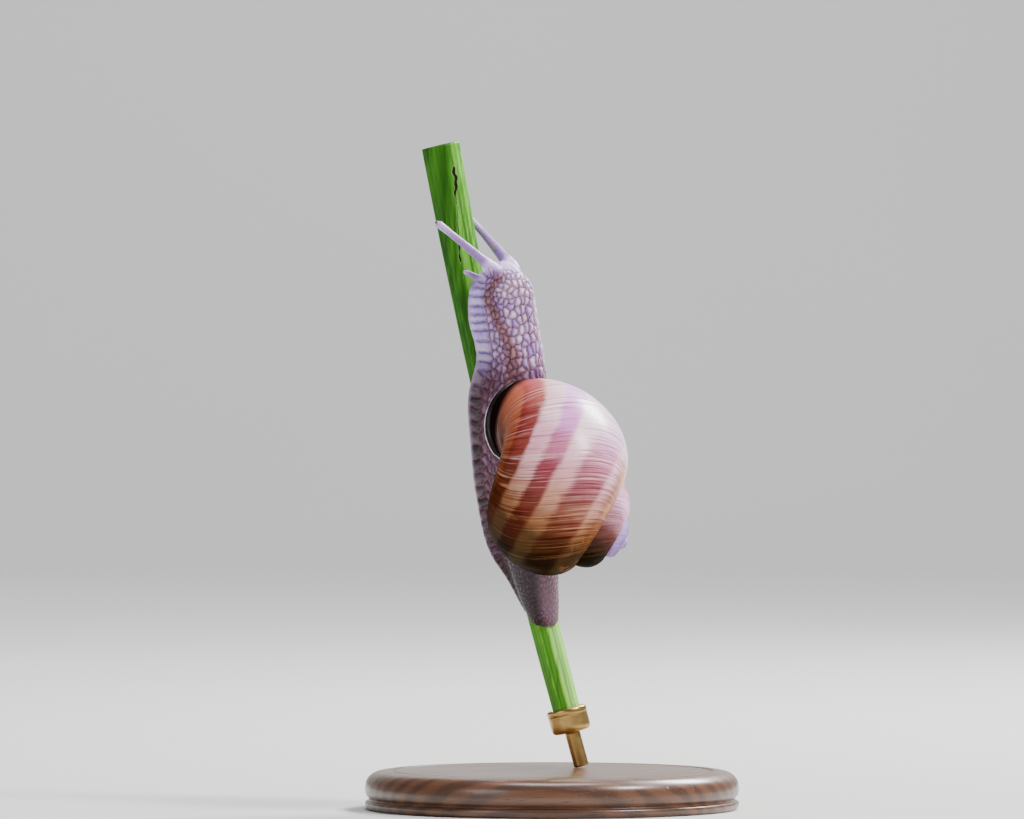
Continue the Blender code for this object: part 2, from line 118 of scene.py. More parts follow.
# %% Curves and masks
def smooth_between(x, knots_x, knots_y):
    """Values at x on a cubic Hermite curve through knots, whose slopes are finite differences.

    Between two knots, with t from 0 to 1, the value is y0 (1 + 2t)(1 - t)^2 + y1 t^2 (3 - 2t)
    + slope0 width t (1 - t)^2 - slope1 width t^2 (1 - t)."""
    x, kx, ky = np.atleast_1d(x), np.asarray(knots_x, float), np.asarray(knots_y, float)
    slopes = np.gradient(ky, kx, axis=0)
    i = np.clip(np.searchsorted(kx, x, side="right") - 1, 0, len(kx) - 2)
    width = kx[i + 1] - kx[i]
    t = np.clip((x - kx[i]) / width, 0, 1)
    if ky.ndim > 1:
        width, t = width[..., None], t[..., None]
    ends = ky[i] * (1 + 2 * t) * (1 - t) ** 2 + ky[i + 1] * t * t * (3 - 2 * t)
    return ends + slopes[i] * width * t * (1 - t) ** 2 - slopes[i + 1] * width * t * t * (1 - t)


def ramp(x, low, high):
    """0 below low, 1 above high, and the smooth step 3t^2 - 2t^3 between them."""
    t = np.clip((x - low) / (high - low), 0, 1)
    return t * t * (3 - 2 * t)


def turns_round(columns):
    """This many angles, evenly spaced round a circle."""
    return np.arange(columns) / columns * 2 * np.pi


print("a smooth step in quarters:", np.round(ramp(np.linspace(0, 1, 5), 0, 1), 2))

# %% [markdown]
# A finished piece takes the place of some nodes of the imported model, which it hides. `stand_for`
# also prints how many triangles it has and how large it is.


# %% Putting a piece in place of parts
def stand_for(obj, slot, *nodes):
    """The piece stands for these nodes, which are hidden, and rides on the one body. slot is not used."""
    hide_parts(*nodes)
    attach(obj, "root")
    obj.data.calc_loop_triangles()
    low, high = (np.array(corner) / MM for corner in (obj.bound_box[0], obj.bound_box[6]))
    print(f"{obj.name}: {len(obj.data.loop_triangles)} triangles, {np.round(high - low, 1)} mm")


# %% [markdown]
# ## Tools for finishes
#
# Shader maths reads badly as a web of boxes, and well as a sum. `Value` wraps one node socket, so
# `1 - mask * 0.5` adds the Math nodes it needs.


# %% Shader sums
class Value:
    """A number or colour that a node gives. Each operator adds a Math node."""

    def __init__(self, recipe, socket):
        self.recipe, self.socket = recipe, socket

    def math(self, operation, first, second):
        return self.recipe.add("Math", {"operation": operation}, {0: first, 1: second})

    def __add__(self, other):
        return self.math("ADD", self, other)

    def __sub__(self, other):
        return self.math("SUBTRACT", self, other)

    def __rsub__(self, other):
        return self.math("SUBTRACT", other, self)

    def __mul__(self, other):
        return self.math("MULTIPLY", self, other)

    def __truediv__(self, other):
        return self.math("DIVIDE", self, other)

    def __rpow__(self, other):
        return self.math("POWER", other, self)

    __radd__, __rmul__ = __add__, __mul__

    def step(self, low, high, to_low=0.0, to_high=1.0):
        """The smooth step from to_low to to_high as this goes from low to high."""
        sockets = {"Value": self, "From Min": low, "From Max": high, "To Min": to_low, "To Max": to_high}
        return self.recipe.add("MapRange", {"interpolation_type": "SMOOTHSTEP"}, sockets)


# %% [markdown]
# Every node comes from `Recipe.add`, which takes its type, its settings and its sockets. The other
# methods are the few kinds of node that the finishes share. Colours are given as a screen shows them,
# from 0 to 255, and made linear, because that is what the shader adds up.


# %% Recipes
class Recipe:
    """A material, with the few kinds of node that its sums need."""

    def __init__(self, name, sockets):
        self.material = bpy.data.materials.new(name)
        self.material.use_nodes = True
        self.tree = self.material.node_tree
        self.shader = self.tree.nodes["Principled BSDF"]
        self.feed(self.shader, sockets)

    def feed(self, node, sockets):
        """Set or link inputs, each named by its place, its identifier or its name."""
        for key, value in sockets.items():
            named = [s for s in node.inputs if key in (s.identifier, s.name)]
            socket = node.inputs[key] if isinstance(key, int) else named[0]
            if isinstance(value, Value):
                self.tree.links.new(value.socket, socket)
            else:
                socket.default_value = linear(value) if socket.type == "RGBA" else value

    def add(self, kind, settings, sockets, output=0):
        """A node of this kind. Its settings are set first, then its sockets."""
        node = self.tree.nodes.new("ShaderNode" + kind)
        for key, value in settings.items():
            setattr(node, key, value)
        self.feed(node, sockets)
        return Value(self, node.outputs[output])

    def attribute(self, name):
        return self.add("Attribute", {"attribute_name": name}, {}, "Fac")

    def place(self, axis=None):
        """The object's own coordinates, or one of them."""
        vector = self.add("TexCoord", {}, {}, "Object")
        return self.add("SeparateXYZ", {}, {"Vector": vector}, axis) if axis else vector

    def across(self, x, y, z=0.0):
        return self.add("CombineXYZ", {}, {"X": x, "Y": y, "Z": z})

    def noise(self, scale, detail=4.0, roughness=0.55, at=None):
        """Noise of a vector or, without one, of the object's coordinates, where three scales stretch it."""
        at = at or self.place()
        if isinstance(scale, tuple):
            at, scale = self.add("Mapping", {}, {"Vector": at, "Scale": scale}), 1.0
        sockets = {"Vector": at, "Scale": scale, "Detail": detail, "Roughness": roughness}
        return self.add("TexNoise", {}, sockets)

    def mix(self, first, second, mask, blend="MIX"):
        """From the first colour to the second as mask goes from 0 to 1."""
        settings = {"data_type": "RGBA", "blend_type": blend}
        sockets = {"Factor_Float": mask, "A_Color": first, "B_Color": second}
        return self.add("Mix", settings, sockets, "Result")

    def layered(self, colour, *layers):
        """A colour with layers laid over it, each given as (colour, mask) or (colour, mask, blend)."""
        for layer in layers:
            colour = self.mix(colour, *layer)
        return colour

    def along(self, value, *stops):
        """A colour that changes smoothly through stops of (value, red, green, blue), from low to high."""
        starts = [stop[0] for stop in stops]
        colours = [stop[1:] for stop in stops]
        masks = [value.step(low, high) for low, high in zip(starts, starts[1:])]
        return self.layered(colours[0], *zip(colours[1:], masks))

    def finish(self, pieces, colour, roughness, relief=None, depth=0.0):
        """Give pieces this colour and roughness, and a relief of this depth, which bends the normal."""
        sockets = {"Base Color": colour, "Roughness": roughness}
        if relief is not None:
            sockets["Normal"] = self.add("Bump", {}, {"Height": relief, "Strength": 1.0, "Distance": depth})
        self.feed(self.shader, sockets)
        for piece in pieces:
            piece.data.materials.append(self.material)
        print(f"{self.material.name}: {len(self.tree.nodes)} shader nodes")


def linear(colour):
    """A colour given from 0 to 255 as a screen shows it, made linear as the shader wants it."""
    share = np.array(colour) / 255
    shares = np.where(share > 0.04045, ((share + 0.055) / 1.055) ** 2.4, share / 12.92)
    return (*shares.tolist(), 1.0)


print("middle grey, made linear:", round(linear((128, 128, 128))[0], 3))

# %% [markdown]
# ## The stem
#
# An umbellifer's stem leans to the left and grows more upright on the way up, and it is thicker at the
# top. Its line could be a curve object. It is a formula instead, because the foot has to clasp it, and
# the cup and the rod follow it too, so its middle is needed at any height.

# %% The stem's line and size
STEM_FOOT, STEM_TOP = 17 * MM, 135 * MM
STEM_X, STEM_Y = 8.44 * MM, 8 * MM
STEM_LEAN, STEM_UPRIGHT, STEM_SLOPE = 0.283, 0.77, 0.24
STEM_THIN, STEM_THICK = 2.65 * MM, 3.8 * MM
RIBS, RIB_DEPTH = 9, 0.12 * MM
SCAR_LOW, SCAR_HIGH, SCAR_DEPTH = 111.5 * MM, 129.8 * MM, 0.16 * MM


def stem_line(height):
    """The stem's middle: x = STEM_X - lean h + upright h^2 / 2, as (height, xyz)."""
    x = STEM_X - STEM_LEAN * height + STEM_UPRIGHT * height**2 / 2
    return np.stack([x, np.full_like(x, STEM_Y), height], -1)


def stem_radius(height):
    """From STEM_THIN at the foot to STEM_THICK at the top, in a straight line."""
    return STEM_THIN + (STEM_THICK - STEM_THIN) * (height - STEM_FOOT) / (STEM_TOP - STEM_FOOT)


print("stem:", round((STEM_TOP - STEM_FOOT) / MM), "mm of it, thicker at the top")

# %% [markdown]
# The stem is ribbed, and an old scar winds down its upper front. A bevelled curve would give a plain
# tube at once, but here the radius has to change both along and round it, so the stem is a grid. Its
# ribs are a cosine wave round it, with finer strands between them. The cut ends show pale pith.


# %% The stem's surface
def scar(height, turn, radius):
    """(1 on the scar and 0 away from it, 1 to the right of its path and 0 to the left).

    The mark is a bell curve of the distance to a wavy line that winds down the stem's front."""
    down = (SCAR_HIGH - height) / (SCAR_HIGH - SCAR_LOW)
    wave = 0.22 * np.sin(height / MM * 1.1) + 0.16 * np.sin(height / MM * 3.1 + 1)
    path = np.radians(-57 - 38 * np.clip(down, 0, 1) + 14 * ramp(down, 1.2, 3.0))
    beside = (turn - path) * radius / MM
    off = beside - wave * (1 - 0.6 * np.clip(down, 0, 1))
    ends = ramp(down, 1.03, 1.0) * ramp(down, -0.03, 0.0)
    gaps = ramp(np.sin(height / MM * 2.3 + 2), -0.9, 0.2)
    strong = np.maximum(ramp(down, 0.34, 0.26), 0.95 * gaps * ramp(down, 0.74, 0.8))
    wide = 0.18 + 0.22 * ramp(down, 0.34, 0.2) * (0.6 + 0.4 * np.sin(height / MM * 2.2) ** 2)
    right = ramp(beside, -0.8, 0.9) * ramp(np.cos(turn), -0.6, -0.1)
    return np.exp(-((off / wide) ** 2)) * ends * np.maximum(strong, 0.5), right


def stem_grid(rows=240, columns=180):
    """(Points, scar, ribs' lines, right side) of sections square to the stem's slope.

    The radius is the stem's, plus ribs and strands, less the scar's groove."""
    height = np.linspace(STEM_FOOT, STEM_TOP, rows)[:, None]
    turn = (np.arange(columns) / columns * 2 - 1)[None] * np.pi
    wave = np.cos(RIBS * turn + 0.25 * np.sin(height / MM * 0.05))
    strands = 0.3 * np.cos(27 * turn + 1) * np.sin(height / MM * 0.21 + 4 * turn) * 0.2
    radius = stem_radius(height) + RIB_DEPTH * (0.75 * wave + 0.25 * np.cos(18 * turn) + strands)
    mark, right = scar(height, turn, radius)
    radius = radius - SCAR_DEPTH * mark
    circle = np.stack([np.cos(turn), np.sin(turn), STEM_SLOPE * np.cos(turn)], -1)
    lines = 0.5 * wave + 0.5 * np.cos(23 * turn + 2)
    return stem_line(height[:, 0])[:, None] + radius[..., None] * circle, mark, lines, right


def cut_end(ring, middle, lift, steps=7):
    """Rings from a tube's edge in to its middle: a cut face, dished by lift."""
    share = np.linspace(1, 0.02, steps)[1:, None, None]
    dish = np.array([0, 0, lift]) * (1 - share**2)
    return middle + (ring - middle) * share + dish


sides, mark, lines, right = stem_grid()
bottom = cut_end(sides[0], stem_line(np.array([STEM_FOOT]))[0], 0.2 * MM)[::-1]
top = cut_end(sides[-1], stem_line(np.array([STEM_TOP]))[0], -0.35 * MM)
grid = np.concatenate([bottom, sides, top])
pad = [(len(bottom), len(top)), (0, 0)]
stem_marks = {
    "scar": np.pad(mark, pad),
    "rib": np.pad(lines, pad, mode="edge"),
    "right": np.pad(right, pad, mode="edge"),
    "pith": np.pad(np.zeros_like(mark), pad, constant_values=1.0),
}
stem = surface("stem", grid, closed=True, caps=True, attributes=stem_marks)
stand_for(stem, "stem", "perch_stem")

# %% [markdown]
# A stem is coloured by fibres that run its whole length, so its noise is stretched along z. A painted
# image would need the tube unwrapped, and noise in the object's own coordinates doesn't. Each layer
# below is a colour and the mask that says where it lies. The stem is dark green on the left and fresh
# green on the right: partly the stem's own two tones on either side of the scar, and partly painted
# shade on the left and painted light on the right. It is also paler low down, which is painted light
# where the stem is in the light.

# %% The stem's finish
sockets = {"Subsurface Weight": 0.08, "Subsurface Scale": 0.6 * MM, "Specular IOR Level": 0.15}
recipe = Recipe("stem_green", sockets)
strand, stripe = recipe.noise((1500, 1500, 12), 2), recipe.noise((520, 520, 5), 2)
speck, blotch = recipe.noise((2200, 2200, 160), 2), recipe.noise(60, 3)
rib, right, mark, cut = map(recipe.attribute, ("rib", "right", "scar", "pith"))
rib = rib * 0.5 + 0.5
low = 1 - recipe.place("Z").step(0.06, 0.095)
deep_and_shaded = recipe.mix((30, 82, 4), (64, 128, 24), (strand * 0.5 + stripe * 0.5).step(0.35, 0.65))
deep_and_shaded = recipe.mix(deep_and_shaded, (92, 168, 40), low * 0.75)
fresh_and_lit = recipe.mix((64, 132, 22), (114, 184, 60), (strand * 0.7 + rib * 0.2).step(0.3, 0.65))
fresh_and_lit = recipe.mix(fresh_and_lit, (164, 232, 112), low * 0.8)
# The first layer is fresh green right of the scar and on the right side, and deep green on the left: partly
# the stem's own two tones, partly painted light on the right and painted shade on the left.
colour = recipe.layered(
    recipe.mix(deep_and_shaded, fresh_and_lit, (right + (stripe - 0.5) * 0.8).step(0.25, 0.75)),
    ((222, 240, 200), speck.step(0.56, 0.72) * right * 0.2),  # fine pale hairs
    ((26, 60, 10), (1 - strand.step(0.3, 0.42)) * 0.25),  # dark fibres
    ((176, 220, 40), (rib + (strand - 0.5)).step(0.75, 1.05) * low * 0.5),  # yellow ribs low down
    ((34, 84, 8), (1 - rib.step(0.05, 0.35)) * 0.4),  # the furrows between ribs
    ((60, 110, 26), blotch.step(0.5, 0.7) * 0.3),
    ((150, 170, 110), (mark.step(0.06, 0.2) - mark.step(0.25, 0.4)) * 0.35),  # the scar's pale rim
    ((14, 8, 4), mark.step(0.3, 0.5)),  # the scar
    (recipe.mix((180, 200, 120), (232, 236, 196), recipe.noise(1400, 2)), cut),
)
recipe.finish([stem], colour, strand.step(0.2, 0.8, 0.34, 0.52), strand * 0.7 + speck * 0.3, 0.1 * MM)

# %% [markdown]
# ## The shell
#
# A snail's shell is a tube that grows while it winds down an axis. A point on it is given by two
# numbers: `whorl`, which is 0 at the lip and counts back towards the apex, and `turn`, the angle
# round the tube. Lines of equal whorl are old lips, so they are the growth lines, and lines of equal
# turn are where one spot of the snail's mantle laid down colour, so they are the bands. A circle
# swept along a spiral curve would look much the same but keep neither number, and the finish needs
# both.

# %% The shell's coil
APEX = np.array([14.8, -9.2, 52.8]) * MM
DIP, YAW = np.radians(36.3), np.radians(4.1)
LIP_RADIUS, LIP_DROP = 10.9 * MM, 24.8 * MM
TUBE_ACROSS, TUBE_ALONG, TUBE_TILT = 11.7 * MM, 14.2 * MM, np.radians(8.4)
LIP_TURN, LIP_SLANT = np.radians(139.3), np.radians(30.5)
LAST_GROWTH, EARLY_GROWTH, DROP_POWER = 1.82, 2.15, 1.11
SWELL, SWELL_AT, SWELL_LENGTH = 0.13, -1.64, 0.3
PINHOLE, SHELL_WALL = 0.7 * MM, 1.2 * MM
AXIS = np.array([np.cos(YAW) * np.cos(DIP), np.sin(YAW), -np.cos(YAW) * np.sin(DIP)])
RIGHT = np.array([np.sin(DIP), 0, np.cos(DIP)])
FRONT = np.cross(AXIS, RIGHT)
FIRST_WHORL = -3.5


def shell_size(whorl):
    """Size against the lip's: one growth in each of the last whorl's turns, another before it."""
    return LAST_GROWTH ** np.maximum(whorl, -1) * EARLY_GROWTH ** np.minimum(whorl + 1, 0)


def shell_point(whorl, turn, lift=0.0, plump=1.0):
    """A tilted oval, carried round the axis and down it as it grows.

    The oval's half widths across and along the axis are scaled by plump and grown by lift. Its middle
    is size * LIP_RADIUS out from the axis and size^power * LIP_DROP down it from the apex. A pinhole is
    kept round the axis, which closes in the first whorls."""
    size = shell_size(whorl)
    swell = 1 + SWELL * np.exp(-(((whorl - SWELL_AT) / SWELL_LENGTH) ** 2))
    across = (TUBE_ACROSS * plump + lift / size) * np.cos(turn)
    along = (TUBE_ALONG * plump + lift / size) * np.sin(turn)
    out = LIP_RADIUS + across * np.cos(TUBE_TILT) - along * np.sin(TUBE_TILT)
    down = across * np.sin(TUBE_TILT) + along * np.cos(TUBE_TILT)
    angle = LIP_TURN + 2 * np.pi * whorl - LIP_SLANT * down / TUBE_ALONG
    hole = (PINHOLE - lift) * ramp(whorl, -2.8, -2.2)
    out = np.maximum(size * swell * out, hole)[..., None]
    drop = (size**DROP_POWER * LIP_DROP + size * down)[..., None]
    return APEX - AXIS * drop + (np.sin(angle)[..., None] * RIGHT + np.cos(angle)[..., None] * FRONT) * out


print("the shell grows", round(float(1 / shell_size(np.array(FIRST_WHORL)))), "times from apex to lip")

# %% [markdown]
# One sheet covers all that shows of the tube, from under the seam with the whorl before to the navel.
# The growth lines are low rings. Bump in the finish alone would look much like them, but in the sheet
# they stay when the mesh is used without its finish.


# %% The shell's sheet
def growth_relief(whorl, turn):
    """Height in metres of the growth lines, many low rings and a few stronger rests, and the rests.

    Each ring is a bell curve of whorl, and a slow wave in turn makes rings fade in and out."""
    at = np.sort(rng.uniform(-2.6, -0.02, 360))
    rest = np.arange(at.size) % 21 == 7
    spread = np.where(rest, 0.0034, 0.002)
    strength = np.where(rest, 1.2, rng.uniform(0.1, 1.0, at.size) ** 2)
    gap = (whorl[:, :1, None] - at) / spread
    rings = (np.exp(-(gap**2)) * strength * np.where(gap > 0, 0.6, 1.0))[:, 0]
    fade = 0.35 + 0.65 * (0.5 + 0.5 * np.sin(turn[:, :, None] * 1.7 + at * 31))
    rests = (rings[:, None, rest] * fade[..., rest]).sum(-1) * (1 - ramp(whorl, -0.2, -0.1))
    return 0.05 * MM * (rings[:, None] * fade).sum(-1), np.clip(rests, 0, 1)


def shell_sheet(rows=1180, columns=78):
    """The outside of the coil, with its rows evenly spaced along it, so early whorls get fewer.

    Each row runs from one angle round the tube to another, in degrees. It starts under the whorl
    before, and ends where the next whorl covers it, or in the navel on the last whorl. At the apex it
    goes all the way round."""
    fine = np.linspace(FIRST_WHORL, 0, 4000)
    length = np.cumsum(shell_size(fine) + 0.03)
    whorl = np.interp(np.linspace(length[0], length[-1], rows), length, fine)[:, None]
    last = 62 + 116 * (ramp(whorl, -1.3, -1.2) + ramp(whorl, -3.1, -3.3))
    first = -118 - 66 * ramp(whorl, -2.3, -2.6)
    turn = np.radians(first + (last - first) * np.linspace(0, 1, columns))
    plump = np.sqrt(1 - (1 - np.clip((whorl - FIRST_WHORL) / 0.1, 0.002, 1)) ** 2)
    whorl = np.broadcast_to(whorl, turn.shape)
    rings, rests = growth_relief(whorl, turn)
    lift = rings * ramp(whorl, -2.4, -1.6) * (1 - ramp(whorl, -0.012, 0)) - 0.02 * MM
    return shell_point(whorl, turn, lift, plump), {"whorl": whorl, "turn": turn, "rests": rests}


grid, marks = shell_sheet()
marks = {name: values[:, ::-1] for name, values in marks.items()}
shell = surface("shell", grid[:, ::-1], attributes=marks)
WHORLS = ("apex", "spire", "penultimate_whorl", "body_whorl_back", "body_whorl_front")
stand_for(shell, "shell", *(f"shell_{whorl}" for whorl in WHORLS))

# %% [markdown]
# The ground is cream, warm orange on the base and ochre on the older part. Three brown bands run at
# fixed angles round the tube. Thin pale and dark streaks follow the growth lines, because each is a
# pause in growth. The last few millimetres behind the lip are dark. All of this is a function of whorl
# and turn, so the finish reads them from the mesh. `edge` is the turn in degrees. The other measure is
# the whorl tilted a little with the turn, so that its levels also follow the painted shade low on the
# body whorl. Both are roughened by noise, so that no border is a clean line.

# %% Measures on the shell
recipe = Recipe("shell_coloured", {"Specular IOR Level": 0.0, "Coat Roughness": 0.28})
whorl, turn, rests = map(recipe.attribute, ("whorl", "turn", "rests"))
degrees = turn * (180 / np.pi)
lines = recipe.noise(1, 2, 0.6, at=recipe.across(whorl * 250, turn * 0.7))
hairs = recipe.noise(1, 1, at=recipe.across(whorl * 560, turn * 1.2, 5.0))
broad = recipe.noise(1, 3, at=recipe.across(whorl * 42, turn * 0.8, 3.0))
cloud = recipe.noise(190, 4, 0.6)
edge = degrees + (lines - 0.5) * 7 + (cloud - 0.5) * 10
# The whorl, tilted by 0.001 for each degree of turn so that its levels also follow the painted shade low on
# the body whorl.
age_and_shade = whorl - degrees * 0.001 + (cloud - 0.5) * 0.05 + (lines - 0.5) * 0.025


def band(low, high, soft):
    """1 between two angles round the tube, with soft edges."""
    return edge.step(low - soft, low + soft) * (1 - edge.step(high - soft, high + soft))


print("the shell's measures:", len(recipe.tree.nodes), "shader nodes")

# %% [markdown]
# The ground and every band change colour along that measure. On the older part round the back they
# are brown. Low on the body whorl they turn near black with painted shade, and towards the lip they
# grow pale with painted highlight, with a lavender painted sheen between, over the shell's own cream,
# orange and brown. The spire has colours of its own. Each is a row of stops, a value and the colour
# there, because stops are easy to read and to change. A painted image would hide the rule behind them.

# %% Colours along the whorl, with painted shade and highlight
# The ground's stops: brown round the back, painted shade from -0.62 to -0.47, a lavender painted sheen near
# -0.3 and a near-white painted highlight at -0.2.
ground = recipe.layered(
    recipe.along(
        age_and_shade, (-0.95, 186, 120, 76), (-0.72, 150, 100, 60), (-0.62, 40, 32, 12), (-0.54, 62, 48, 28),
        (-0.47, 88, 60, 34), (-0.43, 150, 100, 66), (-0.38, 206, 148, 126), (-0.34, 232, 166, 172),
        (-0.28, 250, 200, 216), (-0.2, 255, 234, 246),
    ),
    # painted shade: the ground dims past 20 degrees round the tube, away from the painted highlight
    ((244, 208, 220), edge.step(14, 30) * age_and_shade.step(-0.36, -0.26) * 0.7, "MULTIPLY"),
    ((238, 160, 136), edge.step(26, 46) * age_and_shade.step(-0.3, -0.15) * 0.6),
)
# painted shade and highlight: like the ground, the base, the bands, the ochre seam and the streaks darken
# low on the body whorl with painted shade, and the bands grow pale near the lip with painted highlight
base = recipe.along(
    age_and_shade, (-0.95, 170, 90, 46), (-0.72, 130, 80, 36), (-0.6, 54, 42, 22), (-0.46, 76, 54, 28),
    (-0.38, 128, 62, 28), (-0.3, 172, 88, 50), (-0.16, 200, 106, 70),
)
# painted shade: the base turns dark brown from about 70 to 120 degrees round, towards the mouth
base = recipe.mix(base, (66, 20, 8), edge.step(68, 118) * 0.85)
lowest_band = recipe.along(
    age_and_shade, (-0.95, 104, 40, 20), (-0.6, 40, 20, 6), (-0.46, 78, 32, 10), (-0.37, 106, 40, 18),
    (-0.33, 138, 50, 30), (-0.25, 142, 46, 38), (-0.2, 164, 62, 52), (-0.13, 184, 80, 76),
)
other_bands = recipe.along(
    age_and_shade, (-0.95, 104, 40, 20), (-0.72, 70, 32, 14), (-0.54, 24, 12, 4), (-0.46, 80, 32, 14),
    (-0.4, 118, 44, 34), (-0.335, 150, 62, 76), (-0.29, 200, 112, 146), (-0.24, 222, 134, 214),
    (-0.16, 242, 178, 255),
)
ochre = recipe.along(
    age_and_shade, (-0.5, 66, 44, 18), (-0.44, 96, 58, 26), (-0.4, 140, 80, 40), (-0.3, 158, 80, 42),
    (-0.22, 210, 140, 110),
)
# The spire's stops: its pale lilac apex is partly painted highlight. On the whorl before the last, the near
# black is painted shade and the pinkish white above it is painted highlight.
spire = recipe.layered(
    recipe.along(
        age_and_shade, (-3.0, 216, 188, 255), (-2.3, 206, 174, 250), (-1.95, 120, 84, 104), (-1.75, 70, 46, 40),
        (-1.57, 20, 18, 6), (-1.5, 34, 26, 14), (-1.44, 64, 42, 30), (-1.385, 112, 68, 64),
        (-1.325, 192, 140, 154), (-1.26, 236, 190, 226), (-1.1, 176, 120, 96),
    ),
    # painted shade on the lower side of the spire's whorls
    ((40, 26, 16), edge.step(20, 50) * 0.7),
    ((96, 78, 150), (1 - edge.step(-64, -34)) * (1 - age_and_shade.step(-2.0, -1.8)) * 0.4),
)
# The streaks' colour darkens with the same painted shade low on the body whorl.
streak = recipe.along(age_and_shade, (-0.5, 112, 84, 56), (-0.42, 216, 156, 112), (-0.32, 252, 220, 214))
print("with the colours by age:", len(recipe.tree.nodes), "shader nodes")

# %% [markdown]
# The layers are laid on from the ground up: seam, bands, spire, streaks and growth lines, with the dark
# margin over them all. A shell wears as it grows old, so only its newer part has a strong coat.

# %% The shell's finish
seam = (1 - edge.step(-66, -46)) * (1 - age_and_shade.step(-0.25, -0.18))
third = band(-46, -14, 4.0) * (lines + broad * 0.6).step(0.5, 0.95, 0.98, 0.6)
white = lines.step(0.56, 0.66) * broad.step(0.36, 0.6) * 0.55
white = white + rests * cloud.step(0.35, 0.6) * (1 - whorl.step(-0.2, -0.08)) * 0.5
bell = (degrees - 104) / 40
bell = 2.718 ** (bell * bell * -1)
margin = (whorl + bell * 0.05 + (lines - 0.5) * 0.012).step(-0.045, 0.006)
colour = recipe.layered(
    recipe.mix(ground, base, edge.step(50, 60)),
    (ochre, seam * age_and_shade.step(-0.6, -0.5) * 0.9),
    ((214, 146, 66), seam * cloud.step(0.52, 0.66) * 0.6),
    (lowest_band, band(40, 62, 3.0) * 0.95),
    (other_bands, band(4, 22, 3.0) * 0.95),
    (other_bands, third * whorl.step(-0.32, -0.2, 1.0, 0.35)),
    # painted shade: the third band is dimmed on its older, lower part
    ((166, 120, 120), third * (1 - age_and_shade.step(-0.34, -0.26)) * 0.3, "MULTIPLY"),
    (spire, 1 - whorl.step(-1.18, -1.0)),
    (streak, white),
    ((184, 140, 152), (1 - lines.step(0.36, 0.47)) * 0.75, "MULTIPLY"),
    ((184, 140, 146), (1 - hairs.step(0.34, 0.48)) * 0.5, "MULTIPLY"),
    ((18, 7, 7), margin),
)
relief = (lines * 0.6 + hairs * 0.25 + broad * 0.3) * (1 - margin * 0.85)
gloss = age_and_shade.step(-0.44, -0.28) * (1 - margin) * 0.7 + 0.05
recipe.feed(recipe.shader, {"Coat Weight": gloss})
recipe.finish([shell], colour, (lines + cloud * 0.4).step(0.4, 1.0, 0.36, 0.5), relief, 0.3 * MM)

# %% [markdown]
# ## The lip
#
# A grown snail's shell ends in a thickened, pale rim. A tube bent round the mouth would miss its
# slanted edge here and there, so the rim's section is carried round by the shell's own formula. The
# section is one closed curve, drawn through a few points: out along the edge, round the rim, in again,
# and back over the inside of the mouth, where it meets the soft mantle.

# %% The lip's sheet
def mouth_normal():
    """The way that the mouth faces: the area vector of its edge, signed towards growth."""
    turn = np.linspace(0, 2 * np.pi, 200, endpoint=False)[None]
    edge, behind = shell_point(np.zeros((1, 1)), turn)[0], shell_point(np.full((1, 1), -0.02), turn)[0]
    spokes = edge - edge.mean(0)
    area = np.cross(spokes, np.roll(spokes, -1, axis=0)).sum(0)
    return area / np.linalg.norm(area) * np.sign(area @ (edge.mean(0) - behind.mean(0)))


def lip_sheet(rows=420, columns=40):
    """Each knot is (how far out from the tube's surface, how far ahead of the mouth, whorl)."""
    knots = np.array([
        (-0.05, -0.1, -0.001), (0.16, 0.15, 0), (0.26, 0.6, 0), (0.12, 1.15, 0), (-0.3, 1.38, 0),
        (-0.85, 1.2, 0), (-1.2, 0.7, 0), (-1.2, 0.0, 0), (-1.15, 0.0, -0.05), (-1.1, 0.0, -0.11),
        (-0.6, 0.0, -0.11), (-0.5, 0.0, -0.04),
    ])
    ring = np.concatenate([knots[-2:], knots, knots[:3]])
    share = np.arange(columns) / columns * len(knots) + 2
    lift, ahead, whorl = smooth_between(share, np.arange(len(ring)), ring).T
    turn = np.linspace(0, 2 * np.pi, rows, endpoint=False)[:, None]
    wavy = 1 + 0.12 * np.sin(5 * turn + 1) * np.sin(2 * turn)
    points = shell_point(np.minimum(whorl, 0)[None] + 0 * turn, turn + 0 * whorl, lift * MM)
    points = points + (ahead * wavy)[..., None] * MM * mouth_normal()
    return points, {"ahead": ahead + lift * 0.35 + 0 * turn, "depth": whorl + 0 * turn}


grid, marks = lip_sheet()
all_round = [*range(len(grid)), 0]  # the first row again at the end, which closes the ring
marks = {name: values[all_round] for name, values in marks.items()}
lip = surface("shell_rim", grid[all_round], closed=True, attributes=marks)
stand_for(lip, "shell_lip", "shell_lip")

# %% [markdown]
# The rim is like old porcelain: pale and a little clear, dark where it leaves the shell, and dull brown
# inside the mouth. Two measures kept on its mesh, how far ahead and how deep, place the three colours.

# %% The lip's finish
sockets = {"Subsurface Weight": 0.1, "Subsurface Scale": 0.5 * MM, "Specular IOR Level": 0.2}
recipe = Recipe("lip_pale", {**sockets, "Coat Weight": 0.06})
cloud = recipe.noise(700, 3)
ahead, depth = map(recipe.attribute, ("ahead", "depth"))
pale = recipe.mix((206, 190, 206), (244, 236, 240), cloud.step(0.35, 0.65))
colour = recipe.layered(
    (26, 10, 10),
    (pale, (ahead + (cloud - 0.5) * 0.2).step(0.85, 1.0)),
    (recipe.mix((140, 112, 112), (106, 78, 84), cloud), 1 - depth.step(-0.04, -0.004)),
)
recipe.finish([lip], colour, cloud.step(0.3, 0.7, 0.25, 0.4), cloud, 0.06 * MM)

# %% [markdown]
# ## The soft body
#
# Flesh is drawn as level sections, from the tail to the crown of the head, each a closed curve
# through 14 points: the ridge of the back, the waist, the foot's thin edge and the sole. Sculpting
# could shape it by eye, but sections can be measured and set one by one. Lengths here are in
# millimetres until the skin is done.

